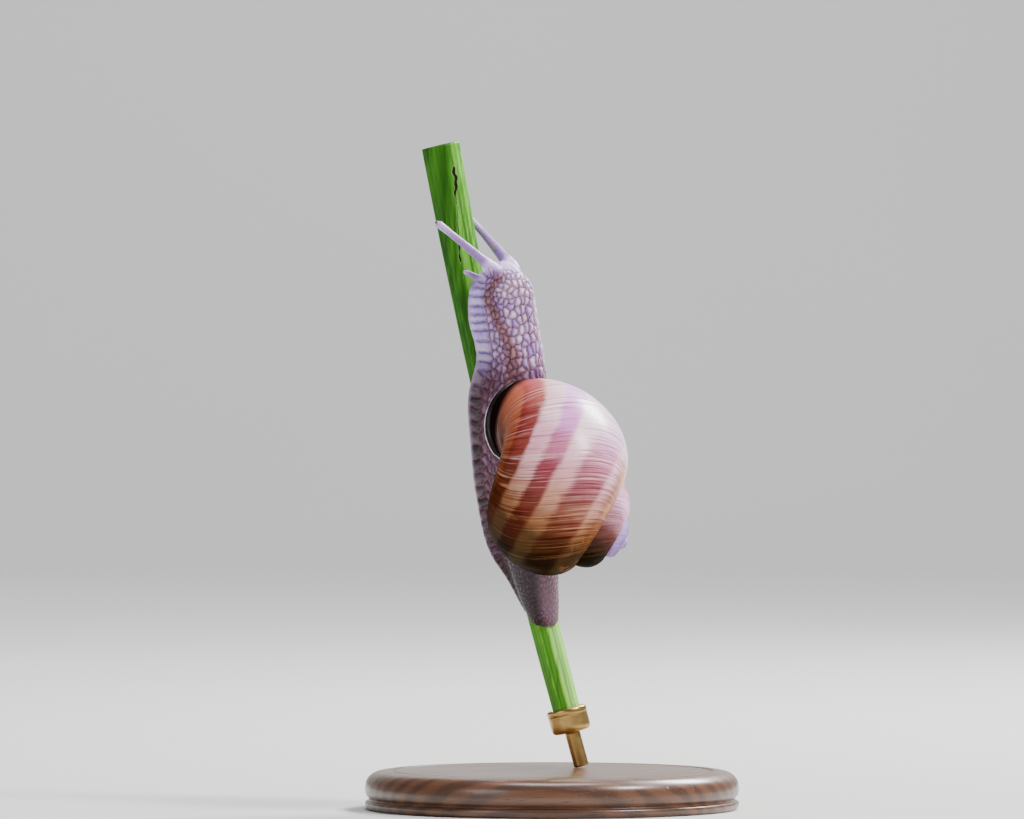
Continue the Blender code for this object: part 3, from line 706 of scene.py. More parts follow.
# %% The body's sections
BODY = {  # height, turn of the back from the right to the viewer, ridge, half width, edge out and up
    "tail_tip": (36.2, 84, 3.6, 2.6, 2.4, 0.4),
    "tail": (42.0, 80, 5.4, 4.0, 4.0, -0.6),
    "tail_root": (46.5, 74, 6.6, 4.8, 5.2, -1.4),
    "heel": (51.0, 66, 7.6, 5.8, 7.0, -2.2),
    "foot": (63.0, 50, 9.5, 7.1, 7.1, -3.3),
    "saddle": (74.0, 43, 12.5, 7.1, 6.6, -2.2),
    "collar": (83.5, 38, 14.1, 6.4, 6.2, -0.7),
    "neck": (92.0, 35, 14.8, 5.8, 5.9, 3.1),
    "throat": (100.0, 35, 15.2, 5.8, 6.6, 3.6),
    "head": (106.5, 35, 15.6, 5.3, 5.3, 4.9),
    "crown": (111.4, 35, 14.3, 3.6, 3.4, 7.0),
}
STATIONS = np.array(list(BODY.values()))
TAIL_END, CROWN_END = STATIONS[0, 0], STATIONS[-1, 0]
TAIL_ROUND, HEAD_ROUND = 2.5, 6.0
SOLE_CLASPED, SOLE_LIFTED, LIFT_STARTS, LIFT_ENDS = 1.0, 4.4, 0.5, 3.0
PLACES = 14  # knots round a section: 0 the ridge, 2 the flank, 4 the foot's left edge, 7 the sole
STEM_GAP = 0.07  # how far the skin stays off the stem's ribs


def body_directions(turn_degrees):
    """Level directions: to the snail's left, and out from the stem through its back."""
    turn = np.radians(turn_degrees)
    left = np.stack([-np.sin(turn), -np.cos(turn), 0 * turn], -1)
    return left, np.stack([np.cos(turn), -np.sin(turn), 0 * turn], -1)


def body_sizes(height):
    """Turn, ridge, half width, edge out, edge up and sole at these heights."""
    values = smooth_between(height, STATIONS[:, 0], STATIONS[:, 1:]).T
    lifted = ramp(values[4], LIFT_STARTS, LIFT_ENDS)
    return (*values, SOLE_CLASPED + (SOLE_LIFTED - SOLE_CLASPED) * lifted)


print("the body is", CROWN_END - TAIL_END, "mm long, in", len(BODY), "sections")

# %% [markdown]
# The closed curve through a section's knots has to stay smooth where they lie close together, as they
# do at the foot's edge. A curve that runs from knot to knot in equal times would overshoot there, so
# its speed follows the distance between them.


# %% A point on the body
def body_point(height, place):
    """World point, in mm, at a height and a place round the section.

    Between two of its knots the section is a Hermite curve, whose speed follows the knots' distance to
    the power 0.6. Both ends of the body shrink to its middle like the end of an oval."""
    height, place = (np.ravel(v) for v in np.broadcast_arrays(height, place))
    turn, ridge, back, edge_out, edge_up, sole = body_sizes(height)
    rise = ridge - edge_up
    half = np.array([
        (0 * back, ridge),
        (0.66 * back, ridge - 0.16 * rise),
        (back, edge_up + 0.50 * rise),
        (0.93 * back, edge_up + 0.20 * rise),
        (edge_out, edge_up + 0.45),
        (0.90 * edge_out, edge_up - 0.75),
        (0.50 * edge_out, 0.6 * sole + 0.4 * edge_up),
        (0 * back, sole),
    ])
    ring = np.concatenate([half, half[-2:0:-1] * np.array([-1, 1])[:, None]])
    first = np.floor(place).astype(int)
    near = ring[(first + np.arange(-1, 3)[:, None]) % PLACES, :, np.arange(place.size)]
    width = np.linalg.norm(np.diff(near, axis=0), axis=-1)[..., None] ** 0.6
    speed = [
        (w0**2 * (c - b) + w1**2 * (b - a)) / (w0 * w1 * (w0 + w1))
        for a, b, c, w0, w1 in ((*near[:3], *width[:2]), (*near[1:], *width[1:]))
    ]
    t = (place - first)[:, None]
    flat = near[1] * (1 + 2 * t) * (1 - t) ** 2 + near[2] * t * t * (3 - 2 * t)
    flat = flat + width[1] * t * (1 - t) * (speed[0] * (1 - t) - speed[1] * t)
    at_tail = np.clip(1 - (height - TAIL_END) / TAIL_ROUND, 0, 0.995)
    at_head = np.clip(1 - (CROWN_END - height) / HEAD_ROUND, 0, 0.995)
    shrink = np.sqrt(1 - at_tail**2) * np.sqrt(1 - at_head**2)
    middle = np.stack([0 * ridge, (ridge + np.maximum(edge_up, sole)) / 2], -1)
    flat = middle + (flat - middle) * shrink[:, None]
    left, out = body_directions(turn)
    return stem_line(height * MM) / MM + flat[:, :1] * left + flat[:, 1:] * out


ridge_point, sole_point = body_point(63.0, np.array([0.0, PLACES / 2]))
print("the foot's thickness in its middle:", round(float(np.linalg.norm(ridge_point - sole_point)), 1), "mm")

# %% [markdown]
# The sole presses against the stem, so its points would end up inside it. A Boolean difference would
# cut them off and leave new edges. Moving each of them out to just over the ribs keeps the grid whole.


# %% Clear of the stem
def off_stem(points):
    """Points inside the stem, moved out level to just over its ribs."""
    line = stem_line(points[:, 2] * MM) / MM
    away = points - line
    slant = points[:, 2] - STEM_SLOPE * away[:, 0]
    line, away = stem_line(slant * MM) / MM, points - stem_line(slant * MM) / MM
    reach = stem_radius(slant * MM) / MM + RIB_DEPTH / MM + STEM_GAP
    length = np.hypot(away[:, 0], away[:, 1])
    grow = np.where((length < reach) & (points[:, 2] > 30), reach / np.maximum(length, 1e-6), 1.0)
    return line + away * np.stack([grow, grow, np.ones_like(grow)], -1)


moved = off_stem(sole_point[None])[0] - sole_point
print("the sole's middle moves out by", round(float(np.linalg.norm(moved)), 1), "mm")

# %% [markdown]
# ## The feelers
#
# A land snail has two pairs: long upper ones with an eye at each tip, and short lower ones for taste
# and touch. Each is a tapered tube on a slightly bowed line with a blunt round end. Its root flares
# where it leaves the head. A cone would be quicker, but a real feeler is thick at the root, even in the
# middle and a little thicker again at the tip.

# %% The feelers' tubes
LEFT_RADII, RIGHT_RADII = (1.72, 1.18, 0.86, 0.74, 0.84), (1.76, 1.38, 1.0, 0.8, 0.84)
LOWER_RADII = (0.98, 0.66, 0.48)
FEELERS = {  # base as height, left and out; reach; radii; bow
    "upper_left": ((108.2, 2.6, 10.8), (-13.1, -4.2, 10.8), LEFT_RADII, 0.01),
    "upper_right": ((108.2, -2.4, 11.6), (-10.3, 9.2, 12.3), RIGHT_RADII, 0.02),
    "lower_left": ((106.6, 3.0, 7.1), (-4.8, -1.8, 2.6), LOWER_RADII, 0.05),
    "lower_right": ((106.6, -3.0, 7.1), (-4.4, 4.4, 2.4), LOWER_RADII, 0.05),
}
EYE_RADIUS = 0.4


def head_point(height, aside, away):
    """World point, in mm, so far to the head's left and out from the stem's middle."""
    left, out = body_directions(BODY["head"][1])
    return stem_line(np.array([height * MM]))[0] / MM + aside * left + away * out


def feeler_frame(name):
    """Base, reach and length of a feeler, and the directions along, beside and over it."""
    base, reach = head_point(*FEELERS[name][0]), np.array(FEELERS[name][1])
    length = np.linalg.norm(reach)
    ahead = reach / length
    side = np.cross(ahead, [0, 0, 1])
    side /= np.linalg.norm(side)
    return base, reach, length, ahead, side, np.cross(side, ahead)


def feeler_line(name, share):
    """Middle and radius of a feeler at shares of its length. Both ends are half balls, and the root
    flares a little."""
    base, reach, length = feeler_frame(name)[:3]
    radii, bow = FEELERS[name][2:]
    path = base + share[:, None] * reach
    path[:, 2] += bow * length * 4 * share * (1 - share)
    radius = smooth_between(share, np.linspace(0, 1, len(radii)), radii)
    radius = radius * (1 + 0.12 * (1 - ramp(share * length, 2.0, 6.5)))
    for distance, size in ((share * length, 2 * radii[0]), ((1 - share) * length, radii[-1])):
        radius = radius * np.sqrt(np.clip(1 - np.clip(1 - distance / size, 0, 1) ** 2, 0.003, 1))
    return path, radius


def feeler_grid(name, rows=90, columns=28):
    """Rings square to the feeler, closer together towards both ends."""
    path, radius = feeler_line(name, (1 - np.cos(np.linspace(0, np.pi, rows))) / 2)
    *_, side, over = feeler_frame(name)
    turn = turns_round(columns)[:, None]
    return path[:, None] + radius[:, None, None] * (np.cos(turn) * side + np.sin(turn) * over)


for name in FEELERS:
    print(name, "feeler:", round(float(feeler_frame(name)[2]), 1), "mm")

# %% [markdown]
# The body, the feelers and the mantle that fills the shell's mouth are laid into each other, and have to
# become one skin, because a feeler grows out of the head with no seam. A Boolean union would join them
# too, but it leaves thin faces along each join, and the skin's relief needs even ones. A voxel remesh
# gives small even quads everywhere.

# %% One skin from all the flesh
VOXEL = 0.272  # the side of a quad


def body_grid(rows=360, columns=280):
    """The body's sections, closer together towards both ends."""
    height = TAIL_END + (CROWN_END - TAIL_END) * (1 - np.cos(np.linspace(0, np.pi, rows))) / 2
    height = 0.5 * height + 0.5 * np.linspace(TAIL_END, CROWN_END, rows)
    points = body_point(height[:, None], np.arange(columns) / columns * PLACES)
    return off_stem(points).reshape(rows, columns, 3)


def mantle_grid(rows=24, columns=120):
    """The mantle that fills the shell's mouth, just inside its wall."""
    whorl = np.linspace(-0.06, -0.014, rows)[:, None]
    return shell_point(whorl, turns_round(columns)[None], -SHELL_WALL - 0.1 * MM) / MM


def joined(grids):
    """One mesh from several closed tubes."""
    made = [surface("raw", grid, closed=True, caps=True) for grid in grids]
    shape = bmesh.new()
    for obj in made:
        shape.from_mesh(obj.data)
        bpy.data.objects.remove(obj, do_unlink=True)
    mesh = bpy.data.meshes.new("raw_flesh")
    shape.to_mesh(mesh)
    shape.free()
    return mesh


def remeshed(mesh, voxel):
    """The outside of overlapping closed meshes, as even small quads: (points, faces)."""
    obj = placed("raw_flesh", mesh)
    change = obj.modifiers.new("one_skin", "REMESH")
    change.mode, change.voxel_size = "VOXEL", voxel
    result = obj.evaluated_get(bpy.context.evaluated_depsgraph_get()).to_mesh()
    points = np.empty(len(result.vertices) * 3)
    result.vertices.foreach_get("co", points)
    corners = np.empty(len(result.loops), int)
    result.loops.foreach_get("vertex_index", corners)
    bpy.data.objects.remove(obj, do_unlink=True)
    return points.reshape(-1, 3), corners.reshape(-1, 4)


flesh = joined([body_grid(), mantle_grid(), *map(feeler_grid, FEELERS)])
points, faces = remeshed(flesh, VOXEL)
print("one skin:", len(points), "points,", len(faces), "quads")

# %% [markdown]
# The remesh leaves a sharp crease where a feeler meets the head. Sculpting would round it by hand, and
# relaxing does it by rule: each point near a root moves towards the mean of its neighbours, over a
# dozen times.


# %% Relaxing and measuring the skin
def relaxed(points, weight, times):
    """Points moved, times over, by their weight towards the mean of their neighbours."""
    sides = np.concatenate([faces[:, [i, (i + 1) % 4]] for i in range(4)])
    count = np.bincount(sides[:, 0], minlength=len(points))[:, None]
    for _ in range(times):
        sums = [np.bincount(sides[:, 0], points[sides[:, 1], axis], len(points)) for axis in range(3)]
        points = points + weight[:, None] * (np.stack(sums, -1) / count - points)
    return points


def feeler_reach(points, name):
    """Every point's distance along a feeler's line and off it, and the feeler's length, in mm."""
    base, reach, length = feeler_frame(name)[:3]
    along = (points - base) @ reach / length
    off = np.linalg.norm(points - base - along[:, None] * reach / length, axis=1)
    return along, off, length


near_root = np.zeros(len(points))
for name in FEELERS:
    along, off, length = feeler_reach(points, name)
    root, reach = (5.0, 3.2) if name.startswith("upper") else (1.4, 1.8)
    beside_root = 1 - ramp(np.abs(along - root), 0.3 * reach, reach)
    near_root = np.maximum(near_root, ramp(off, 4.5, 2.5) * beside_root)
points = relaxed(points, np.clip(0.1 + 0.4 * near_root, 0, 0.5), 3)
points = relaxed(points, 0.5 * near_root, 14)
print("relaxed at the roots:", int((near_root > 0.5).sum()), "points")

# %% [markdown]
# ## The pattern of the skin
#
# A snail's skin is a net of grooves that carry water over it, and the raised cells between them
# differ: broad blocks along the foot's edge, many-sided cells on the flanks, long narrow ones beside
# the ridge, and fine grains on the tail and the head. A Voronoi texture draws such a net, but it can't
# choose the cells by place, so the net is worked out here. Its seeds are set in columns along the body,
# closer together where the cells are small.

# %% Seeds of the cells
COLUMNS = [  # place round the section, spacing along the body and jitter, in mm
    (-1.55, 1.9, 0.4), (-1.2, 1.8, 0.4), (-0.88, 2.2, 0.4), (-0.6, 2.8, 0.35), (-0.38, 3.0, 0.35),
    (-0.18, 3.1, 0.35), (0.03, 2.8, 0.35), (0.26, 2.5, 0.34), (0.54, 2.2, 0.36), (0.86, 2.3, 0.36),
    (1.15, 1.6, 0.34), (1.42, 2.1, 0.34), (1.68, 1.4, 0.34), (1.9, 2.0, 0.35), (2.12, 1.5, 0.3),
    (2.4, 1.9, 0.25), (-1.9, 1.9, 0.3), (-2.3, 1.9, 0.3), (-2.7, 1.9, 0.2),
]
FRINGE_AT = 89.0  # mm: broad single blocks above, two columns of bricks below
HIGH_FRINGE = [(3.05, 2.0, 0.24), (-3.25, 2.0, 0.24)]
LOW_FRINGE = [(2.8, 2.0, 0.22), (3.35, 2.0, 0.22), (-3.0, 2.0, 0.22), (-3.5, 2.0, 0.22)]


def fineness(height):
    """Size of the cells against those of the flank: small on the tail, and on the head and throat."""
    return smooth_between(height, [36, 46, 56, 96, 103, 110], [0.42, 0.5, 1.0, 1.0, 0.84, 0.58])


def seed_points(columns, low=TAIL_END + 0.2, high=CROWN_END - 0.6):
    """Seeds in columns up the body, each moved at random by its column's jitter."""
    fine = np.linspace(low, high, 800)
    counted = np.cumsum(1 / fineness(fine)) * (fine[1] - fine[0])
    seeds = []
    for number, (place, spacing, jitter) in enumerate(columns):
        at = np.arange(0.5 * (number % 2) + 0.25, counted[-1] / spacing, 1.0)
        at = (at + rng.uniform(-jitter, jitter, at.size)) * spacing
        height = np.interp(at, counted, fine)
        place = place + rng.uniform(-0.25, 0.25, at.size) * jitter
        seeds.append(body_point(height, place % PLACES))
    return np.concatenate(seeds)


print("columns of seeds:", len(COLUMNS + HIGH_FRINGE + LOW_FRINGE))

# %% [markdown]
# Each point of the skin belongs to its nearest seed. Its distance to the nearest border gives the
# groove, and is worked out from its distances to the seeds. The difference between the two nearest
# seeds alone would make grooves of uneven width.


# %% Borders between cells
def cell_borders(points, seeds, stretch, chunk=1500):
    """(Distance to the border of the nearest seed's cell, number of that seed).

    Heights count stretch times as much as level distances. With squared distances d1 to the nearest
    seed and d to another, the border between them is (d - d1) / (2 * the two seeds' distance) away."""
    apart = seeds[:, None] - seeds
    level, tall = (apart[..., :2] ** 2).sum(-1), apart[..., 2] ** 2
    border, nearest = np.empty(len(points)), np.empty(len(points), int)
    for start in range(0, len(points), chunk):
        here = slice(start, start + chunk)
        off, weight = points[here, None] - seeds, stretch[here, None] ** 2
        far = (off[..., :2] ** 2).sum(-1) + weight * off[..., 2] ** 2
        best = far.argmin(1)
        row = np.arange(len(best))
        gap = 2 * np.sqrt(level[best] + weight * tall[best])
        gap[row, best] = np.inf
        border[here] = ((far - far[row, best][:, None]) / gap + 1e6 * np.isinf(gap)).min(1)
        nearest[here] = best
    return border, nearest


two_seeds = np.array([[0.0, 0, 0], [2.0, 0, 0]])
border, _ = cell_borders(np.array([[0.4, 0, 0]]), two_seeds, np.ones(1))
print("0.4 from one seed of two that are 2 apart, the border is", round(float(border[0]), 3), "away")

# %% [markdown]
# Each part of the skin has cells of its own kind, so every point first learns where it is: how far
# round from the ridge, how high between the foot's edge and the ridge, and whether it is on a feeler,
# on the mantle or under the foot. Each answer is a mask from 0 to 1 with soft borders, so that one kind
# of cell turns into the next.

# %% Where each point is on the snail
height = np.clip(points[:, 2], TAIL_END, CROWN_END)
turn, ridge, back, edge_out, edge_up, sole = body_sizes(height)
left, out = body_directions(turn)
level = points - stem_line(points[:, 2] * MM) / MM
aside, away = (level * left).sum(1), (level * out).sum(1)
rise = (away - edge_up) / (ridge - edge_up)
on_feeler, tipward = np.zeros(len(points)), np.zeros(len(points))
for name in FEELERS:
    along, off, length = feeler_reach(points, name)
    start = 4.6 if name.startswith("upper") else 2.4
    mask = ramp(off, 3.2, 1.9) * ramp(along, start - 1.0, start + 0.8)
    on_feeler = np.maximum(on_feeler, mask)
    tipward = np.maximum(tipward, mask * np.clip(along / length, 0, 1))
beyond = np.maximum(ramp(np.abs(aside), back + 0.8, back + 1.8), ramp(away, ridge + 0.3, ridge + 1.0))
mantle = beyond * ramp(height, 48, 52) * (1 - ramp(height, 95, 97)) * ramp(rise, 0.0, 0.2)
inner = sole + (edge_up - 0.75 - sole) * np.clip(np.abs(aside) / (0.9 * edge_out), 0, 1)
under = ramp(away, inner + 1.2, inner + 0.5) * ramp(np.abs(aside), edge_out * 0.97, edge_out * 0.85)
fringe = ramp(rise, 0.27, 0.17) * ramp(height, 50, 56) * (1 - ramp(height, 105, 109))
bright_fringe = fringe * ramp(height, 84, 97)
rim = np.exp(-(((rise + 0.02) / 0.035) ** 2)) * (1 - ramp(height, 102, 106))
beside_ridge = ramp(np.abs(aside), 3.4, 1.2) * ramp(rise, 0.6, 0.85) * ramp(height, 60, 70)
# right_side shapes the long cells beside the ridge, and in the finish it carries the painted highlight on
# the body's right side.
right_side = ramp(-aside, 0.2, 3.4) * ramp(rise, 0.35, 0.6) * ramp(height, 66, 80)
valley_at = smooth_between(height, [60, 84, 90, 95, 100, 104, 108], [0.6, 0.7, 0.69, 0.64, 0.5, 0.37, 0.6])
valley = np.exp(-(((rise - valley_at) / 0.15) ** 2)) * ramp(aside, 0.5, 2.0) * ramp(height, 66, 90)
valley = valley * (1 - ramp(height, 108, 110))
print("share of points on feelers:", round(float((on_feeler > 0.5).mean()), 3))

# %% [markdown]
# Cells are long where the distance along the body counts for less. The points are bent by slow waves
# before they are measured, so that no border is quite straight. More seeds, moved about, would give
# crooked borders too, but smaller cells.

# %% Cells
long_cells = (0.45 * beside_ridge + 0.25 * right_side) * (1 - 0.6 * ramp(height, 97, 103))
stretch = 1.0 - long_cells - 0.25 * valley * (1 - beside_ridge) - 0.4 * (1 - ramp(height, 47, 56))
stretch = stretch + 0.7 * fringe * ramp(height, 86, 91)
bent = points + 0.14 * np.sin(2.3 * points[:, [2, 0, 1]] + [0, 1, 2])
bent = bent + 0.05 * np.sin(5.1 * points[:, [1, 2, 0]])
seeds = [seed_points(COLUMNS), seed_points(HIGH_FRINGE, low=FRINGE_AT)]
seeds = np.concatenate([*seeds, seed_points(LOW_FRINGE, high=FRINGE_AT)])
border, nearest = cell_borders(bent, seeds, stretch)
print("cells:", len(seeds))

# %% [markdown]
# Each cell is a low dome, and the skin is cut inwards by what the dome lacks: as deep as the grooves of
# a real skin, and hardly at all where the skin is smooth. Displacement in the material would look the
# same, but wouldn't be in the mesh.

# %% Relief
crown, tail = ramp(height, 104, 110), 1 - ramp(height, 46, 56)
smooth_parts = np.clip(on_feeler + under + mantle + 0.8 * rim + 0.7 * ramp(height, 108.5, 111), 0, 1)
width = 0.44 + 0.1 * fringe + 0.5 * bright_fringe - 0.2 * tail - 0.1 * crown
dome = 1 - np.exp(-((np.maximum(border, 0) / width) ** 1.3))
depth = (0.37 + 0.08 * fringe - 0.12 * crown - 0.2 * tail) * (1 - smooth_parts)
mesh = bpy.data.meshes.new("skin")
mesh.from_pydata((points * MM).tolist(), [], faces.tolist())
normals = np.empty(len(points) * 3)
mesh.vertices.foreach_get("normal", normals)
points = off_stem(points - normals.reshape(-1, 3) * (depth * (1 - dome) + 0.02)[:, None])
mesh.vertices.foreach_set("co", (points * MM).ravel())
mesh.shade_smooth()
tint, hue = rng.uniform(0, 1, (2, nearest.max() + 1))[:, nearest]
marks = {
    "border": border + 0.8 * smooth_parts, "tint": tint, "hue": hue, "fringe": fringe, "rim": rim,
    "bright_fringe": bright_fringe, "valley": valley, "under": under, "rise": rise,
    "body_height": points[:, 2], "feeler": on_feeler, "tipward": tipward, "mantle": mantle,
    # right carries the painted highlight on the body's right side, and left the painted shade on the tail's
    # left side
    "right": right_side, "left": ramp(aside, -0.6, 1.6),
}
for name, values in marks.items():
    note(mesh, name, values)
skin = placed("skin", mesh)
face_out(mesh)
FLESH = ["head", "neck", "foot_front", "foot_middle", "foot_rear", "tail", "mantle_collar"]
FLESH += [f"{pair}_tentacle_{side}" for pair in ("upper", "lower") for side in ("left", "right")]
stand_for(skin, "skin", *FLESH)

# %% [markdown]
# Snail skin is moist and a little clear, so it has a thin coat and some light under its surface. Its
# colour follows the cells and the parts of the body. It could come from a painted image, but the masks
# are on the mesh already, so a colour always sits on its own cell. Noise blurs them a little.

# %% Measures on the skin
sockets = {"Subsurface Weight": 0.12, "Subsurface Scale": 0.5 * MM, "Specular IOR Level": 0.2}
recipe = Recipe("skin_moist", {**sockets, "Coat Weight": 0.3, "Coat Roughness": 0.2})
border, tint, hue, rise, tall = map(recipe.attribute, ("border", "tint", "hue", "rise", "body_height"))
fringe, bright, rim, valley = map(recipe.attribute, ("fringe", "bright_fringe", "rim", "valley"))
right, left, under, mantle = map(recipe.attribute, ("right", "left", "under", "mantle"))
feeler, tipward = map(recipe.attribute, ("feeler", "tipward"))
fine, mottle, cloud = recipe.noise(2600, 3), recipe.noise(900, 2), recipe.noise(210)
grain = recipe.add("TexVoronoi", {}, {"Vector": recipe.place(), "Scale": 1900.0}, "Distance")
near = border + (fine - 0.5) * 0.24 + (mottle - 0.5) * fringe * 0.25
groove = 1 - near.step(0.0, 0.18)
slope = 1 - (near / (1 + bright)).step(0.08, 0.6)
upper = (rise + (cloud - 0.5) * 0.3).step(0.28, 0.7)
high = (tall + (cloud - 0.5) * 6).step(86, 94)
right = right * high
tail = 1 - tall.step(46, 58)
head = (tall + (cloud - 0.5) * 2).step(107, 111)
print("the skin's measures:", len(recipe.tree.nodes), "shader nodes")

# %% [markdown]
# Cells are pale lilac and pink on the back, brown in the valley beside the ridge, and violet on the
# foot's fringe, which turns dark lower down. Two neighbours are never quite alike, so each part has two
# tones, and the cell's own tint says how much of each it gets. A noise alone would cross the borders.
# Some of it is painted light: a pinkish-white painted highlight on the right side and on the middles of
# the upper cells, and painted shade that darkens each cell towards its border.

# %% The cells' colours
flank = recipe.mix((104, 80, 104), (164, 132, 176), (tint + cloud * 0.5).step(0.4, 1.1))
flank = recipe.mix(flank, (224, 192, 255), high * 0.9)
back = recipe.mix((166, 122, 222), (244, 214, 255), (tint * 0.7 + upper * 0.4).step(0.2, 1.0))
back = recipe.mix(back, (246, 196, 216), hue.step(0.55, 0.9) * 0.6)
violet = recipe.mix((186, 150, 250), (255, 232, 255), tint * 0.5 + fine * 0.6)
block = recipe.mix((62, 46, 54), (100, 78, 88), (tint * 0.6 + cloud).step(0.4, 1.1))
block = recipe.mix(block, violet, bright)
brown = recipe.mix((124, 72, 50), (186, 128, 104), tint)
cell = recipe.layered(
    recipe.mix(flank, back, upper),
    # painted highlight: pinkish white on the body's right side
    ((255, 232, 248), right * 0.8),
    # painted highlight: near white on the middles of the upper cells
    ((250, 238, 255), near.step(0.4, 1.0) * upper * high * 0.6),
    (block, fringe),
    (brown, (valley + (cloud - 0.5) * 0.6).step(0.2, 0.9) * 0.8),
    ((108, 58, 72), (1 - high) * (1 - fringe) * 0.72),
    # painted shade: each cell darkens towards its border, less under the painted highlight on the right
    (recipe.mix((116, 66, 84), (128, 104, 206), bright), slope * (0.6 - right * 0.35)),
)
print("with the cells' colours:", len(recipe.tree.nodes), "shader nodes")

# %% [markdown]
# The grooves between the cells are plum, and turn blue on the bright fringe. The tail is dark umber,
# with painted shade that turns its left side near black, and the feelers are grainy lilac, and each lies
# over the cells' colours, as do the sole and the mantle.

# %% The skin's finish
ditch = recipe.mix((52, 18, 32), (64, 50, 140), bright)
# calm makes the grooves fainter under the painted highlight on the right side and on the dark lower fringe.
calm = (1 - right * 0.3) * (1 - (fringe - bright) * 0.45)
umber = recipe.mix((68, 46, 48), (130, 96, 114), (near + upper * 0.3).step(0.1, 0.6))
# painted shade: the tail's left side is painted near black
umber = recipe.mix(umber, (24, 18, 16), left * 0.95)
crown = recipe.mix((146, 104, 204), (222, 190, 255), near.step(0, 0.5))
lilac = recipe.mix((146, 106, 178), (206, 174, 232), (tipward + grain * 0.25).step(0.75, 1.1))
lilac = recipe.mix(lilac, (112, 84, 140), grain.step(0.55, 0.8) * 0.5)
colour = recipe.layered(
    recipe.mix(cell, ditch, groove * cloud.step(0.3, 0.6, 0.65, 0.95) * calm),
    (umber, tail * 0.88),
    (crown, head * 0.75),
    (lilac, feeler * 0.92),
    ((176, 152, 186), rim * 0.6),
    ((150, 130, 132), under * 0.8),
    ((96, 68, 62), mantle * 0.85),
)
relief = ((1 - grain) * 0.3 + fine * 0.5) * (1 - tail * 0.6) + near.step(0.0, 0.6) * 2.0
recipe.finish([skin], colour, (fine + groove * 0.3).step(0.35, 0.95, 0.3, 0.5), relief, 0.14 * MM)

# %% [markdown]
# ## The eyes
#
# The eye of a land snail is a dark bead in the blunt tip of each upper feeler, under clear skin. It
# is a small sphere whose pole looks along the feeler, with a pupil that is darker than its rim. Blender
# has a sphere ready, but on this grid each row knows how far it looks ahead, and that places the pupil.


# %% Eyes
def eye_grid(name, rows=24, columns=32):
    """(Points of a sphere from its front pole to its back one, how far each row looks ahead)."""
    base, reach, length, ahead, side, over = feeler_frame(name)
    lean = np.linspace(0.02, np.pi - 0.02, rows)[:, None, None]
    turn = turns_round(columns)[None, :, None]
    ball = np.cos(lean) * ahead + np.sin(lean) * (np.cos(turn) * side + np.sin(turn) * over)
    return (base + reach * (1 - 0.35 * EYE_RADIUS / length) + EYE_RADIUS * ball) * MM, np.cos(lean)[..., 0]


eyes = []
for side in ("left", "right"):
    grid, front = eye_grid(f"upper_{side}")
    eyes.append(surface(f"eye_bead_{side}", grid, closed=True, caps=True, attributes={"front": front}))
    stand_for(eyes[-1], "eye", f"eye_{side}")
recipe = Recipe("eye_bead", {"Coat Weight": 0.8, "Coat Roughness": 0.05})
fleck = recipe.noise(6000, 2)
colour = recipe.mix((110, 78, 120), (84, 58, 92), fleck)
colour = recipe.mix(colour, (8, 7, 9), recipe.attribute("front").step(0.55, 0.9))
recipe.finish(eyes, colour, fleck.step(0.3, 0.7, 0.1, 0.2), fleck, 0.01 * MM)

# %% [markdown]
# ## The stand
#
# The stand is a museum's: a base turned in dark walnut, and a satin brass rod with a cup that holds
# the stem's cut end. Each is a profile turned about a line. The base gets its edge and one bead from
# its profile, and its grain runs straight through it, as it does in turned wood.

# %% Turned pieces
BASE_LOW, BASE_HIGH = (np.array(corner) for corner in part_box("stand_base"))
ROD_LOW, ROD_HIGH = (np.array(corner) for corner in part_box("stand_rod"))
CUP_LOW, CUP_HIGH = (np.array(corner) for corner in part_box("stand_cup"))
ON_AXIS = 0.05  # mm: the radius where a profile ends, so that the cap has a ring to close


def rounded(profile, times=3):
    """A profile with its corners cut, times over: each side keeps its middle half (Chaikin)."""
    for _ in range(times):
        near = profile[:-1] * 0.75 + profile[1:] * 0.25
        far = profile[:-1] * 0.25 + profile[1:] * 0.75
        profile = np.concatenate([profile[:1], np.stack([near, far], 1).reshape(-1, 2), profile[-1:]])
    return profile


def turned(name, profile, line, slope=0.0, columns=96):
    """A profile of (radius, height) turned about a line, given as a point for each height.

    slope tips the sections in x, to keep them square to a line that leans."""
    turn = turns_round(columns)
    circle = np.stack([np.cos(turn), np.sin(turn), slope * np.cos(turn)], -1)
    return surface(name, line[:, None] + profile[:, :1, None] * circle, closed=True, caps=True)


middle = (BASE_LOW + BASE_HIGH) / 2
edge, top = (BASE_HIGH[0] - BASE_LOW[0]) / 2 / MM, BASE_HIGH[2] / MM
profile = rounded(np.array([
    (ON_AXIS, top), (0.5 * edge, top), (edge - 6.2, top), (edge - 5.9, top - 0.5), (edge - 5.4, top - 0.5),
    (edge - 5.1, top - 0.05), (edge - 3.4, top - 0.15), (edge - 1.6, top - 0.6), (edge - 0.3, top - 1.9),
    (edge, top - 3.6), (edge - 0.1, 3.1), (edge - 0.9, 2.2), (edge - 0.9, 1.9), (edge - 0.05, 1.7),
    (edge, 0.8), (edge - 0.5, 0.02), (edge - 1.2, 0), (ON_AXIS, 0),
]) * MM)
upright = middle * (1, 1, 0) + profile[:, 1:] * (0, 0, 1)
base = turned("stand_base_turned", profile, upright, columns=160)
stand_for(base, "stand_wood", "stand_base")

# %% [markdown]
# Walnut's grain is a stack of growth rings, cut by the block. An image of wood would end at the base's
# edge, but rings worked out in all three directions run on down its side. Far from the tree's heart
# they are nearly flat sheets, so they are a sine of depth and height, bent by noise. Short dark dashes
# along the grain are its open pores.

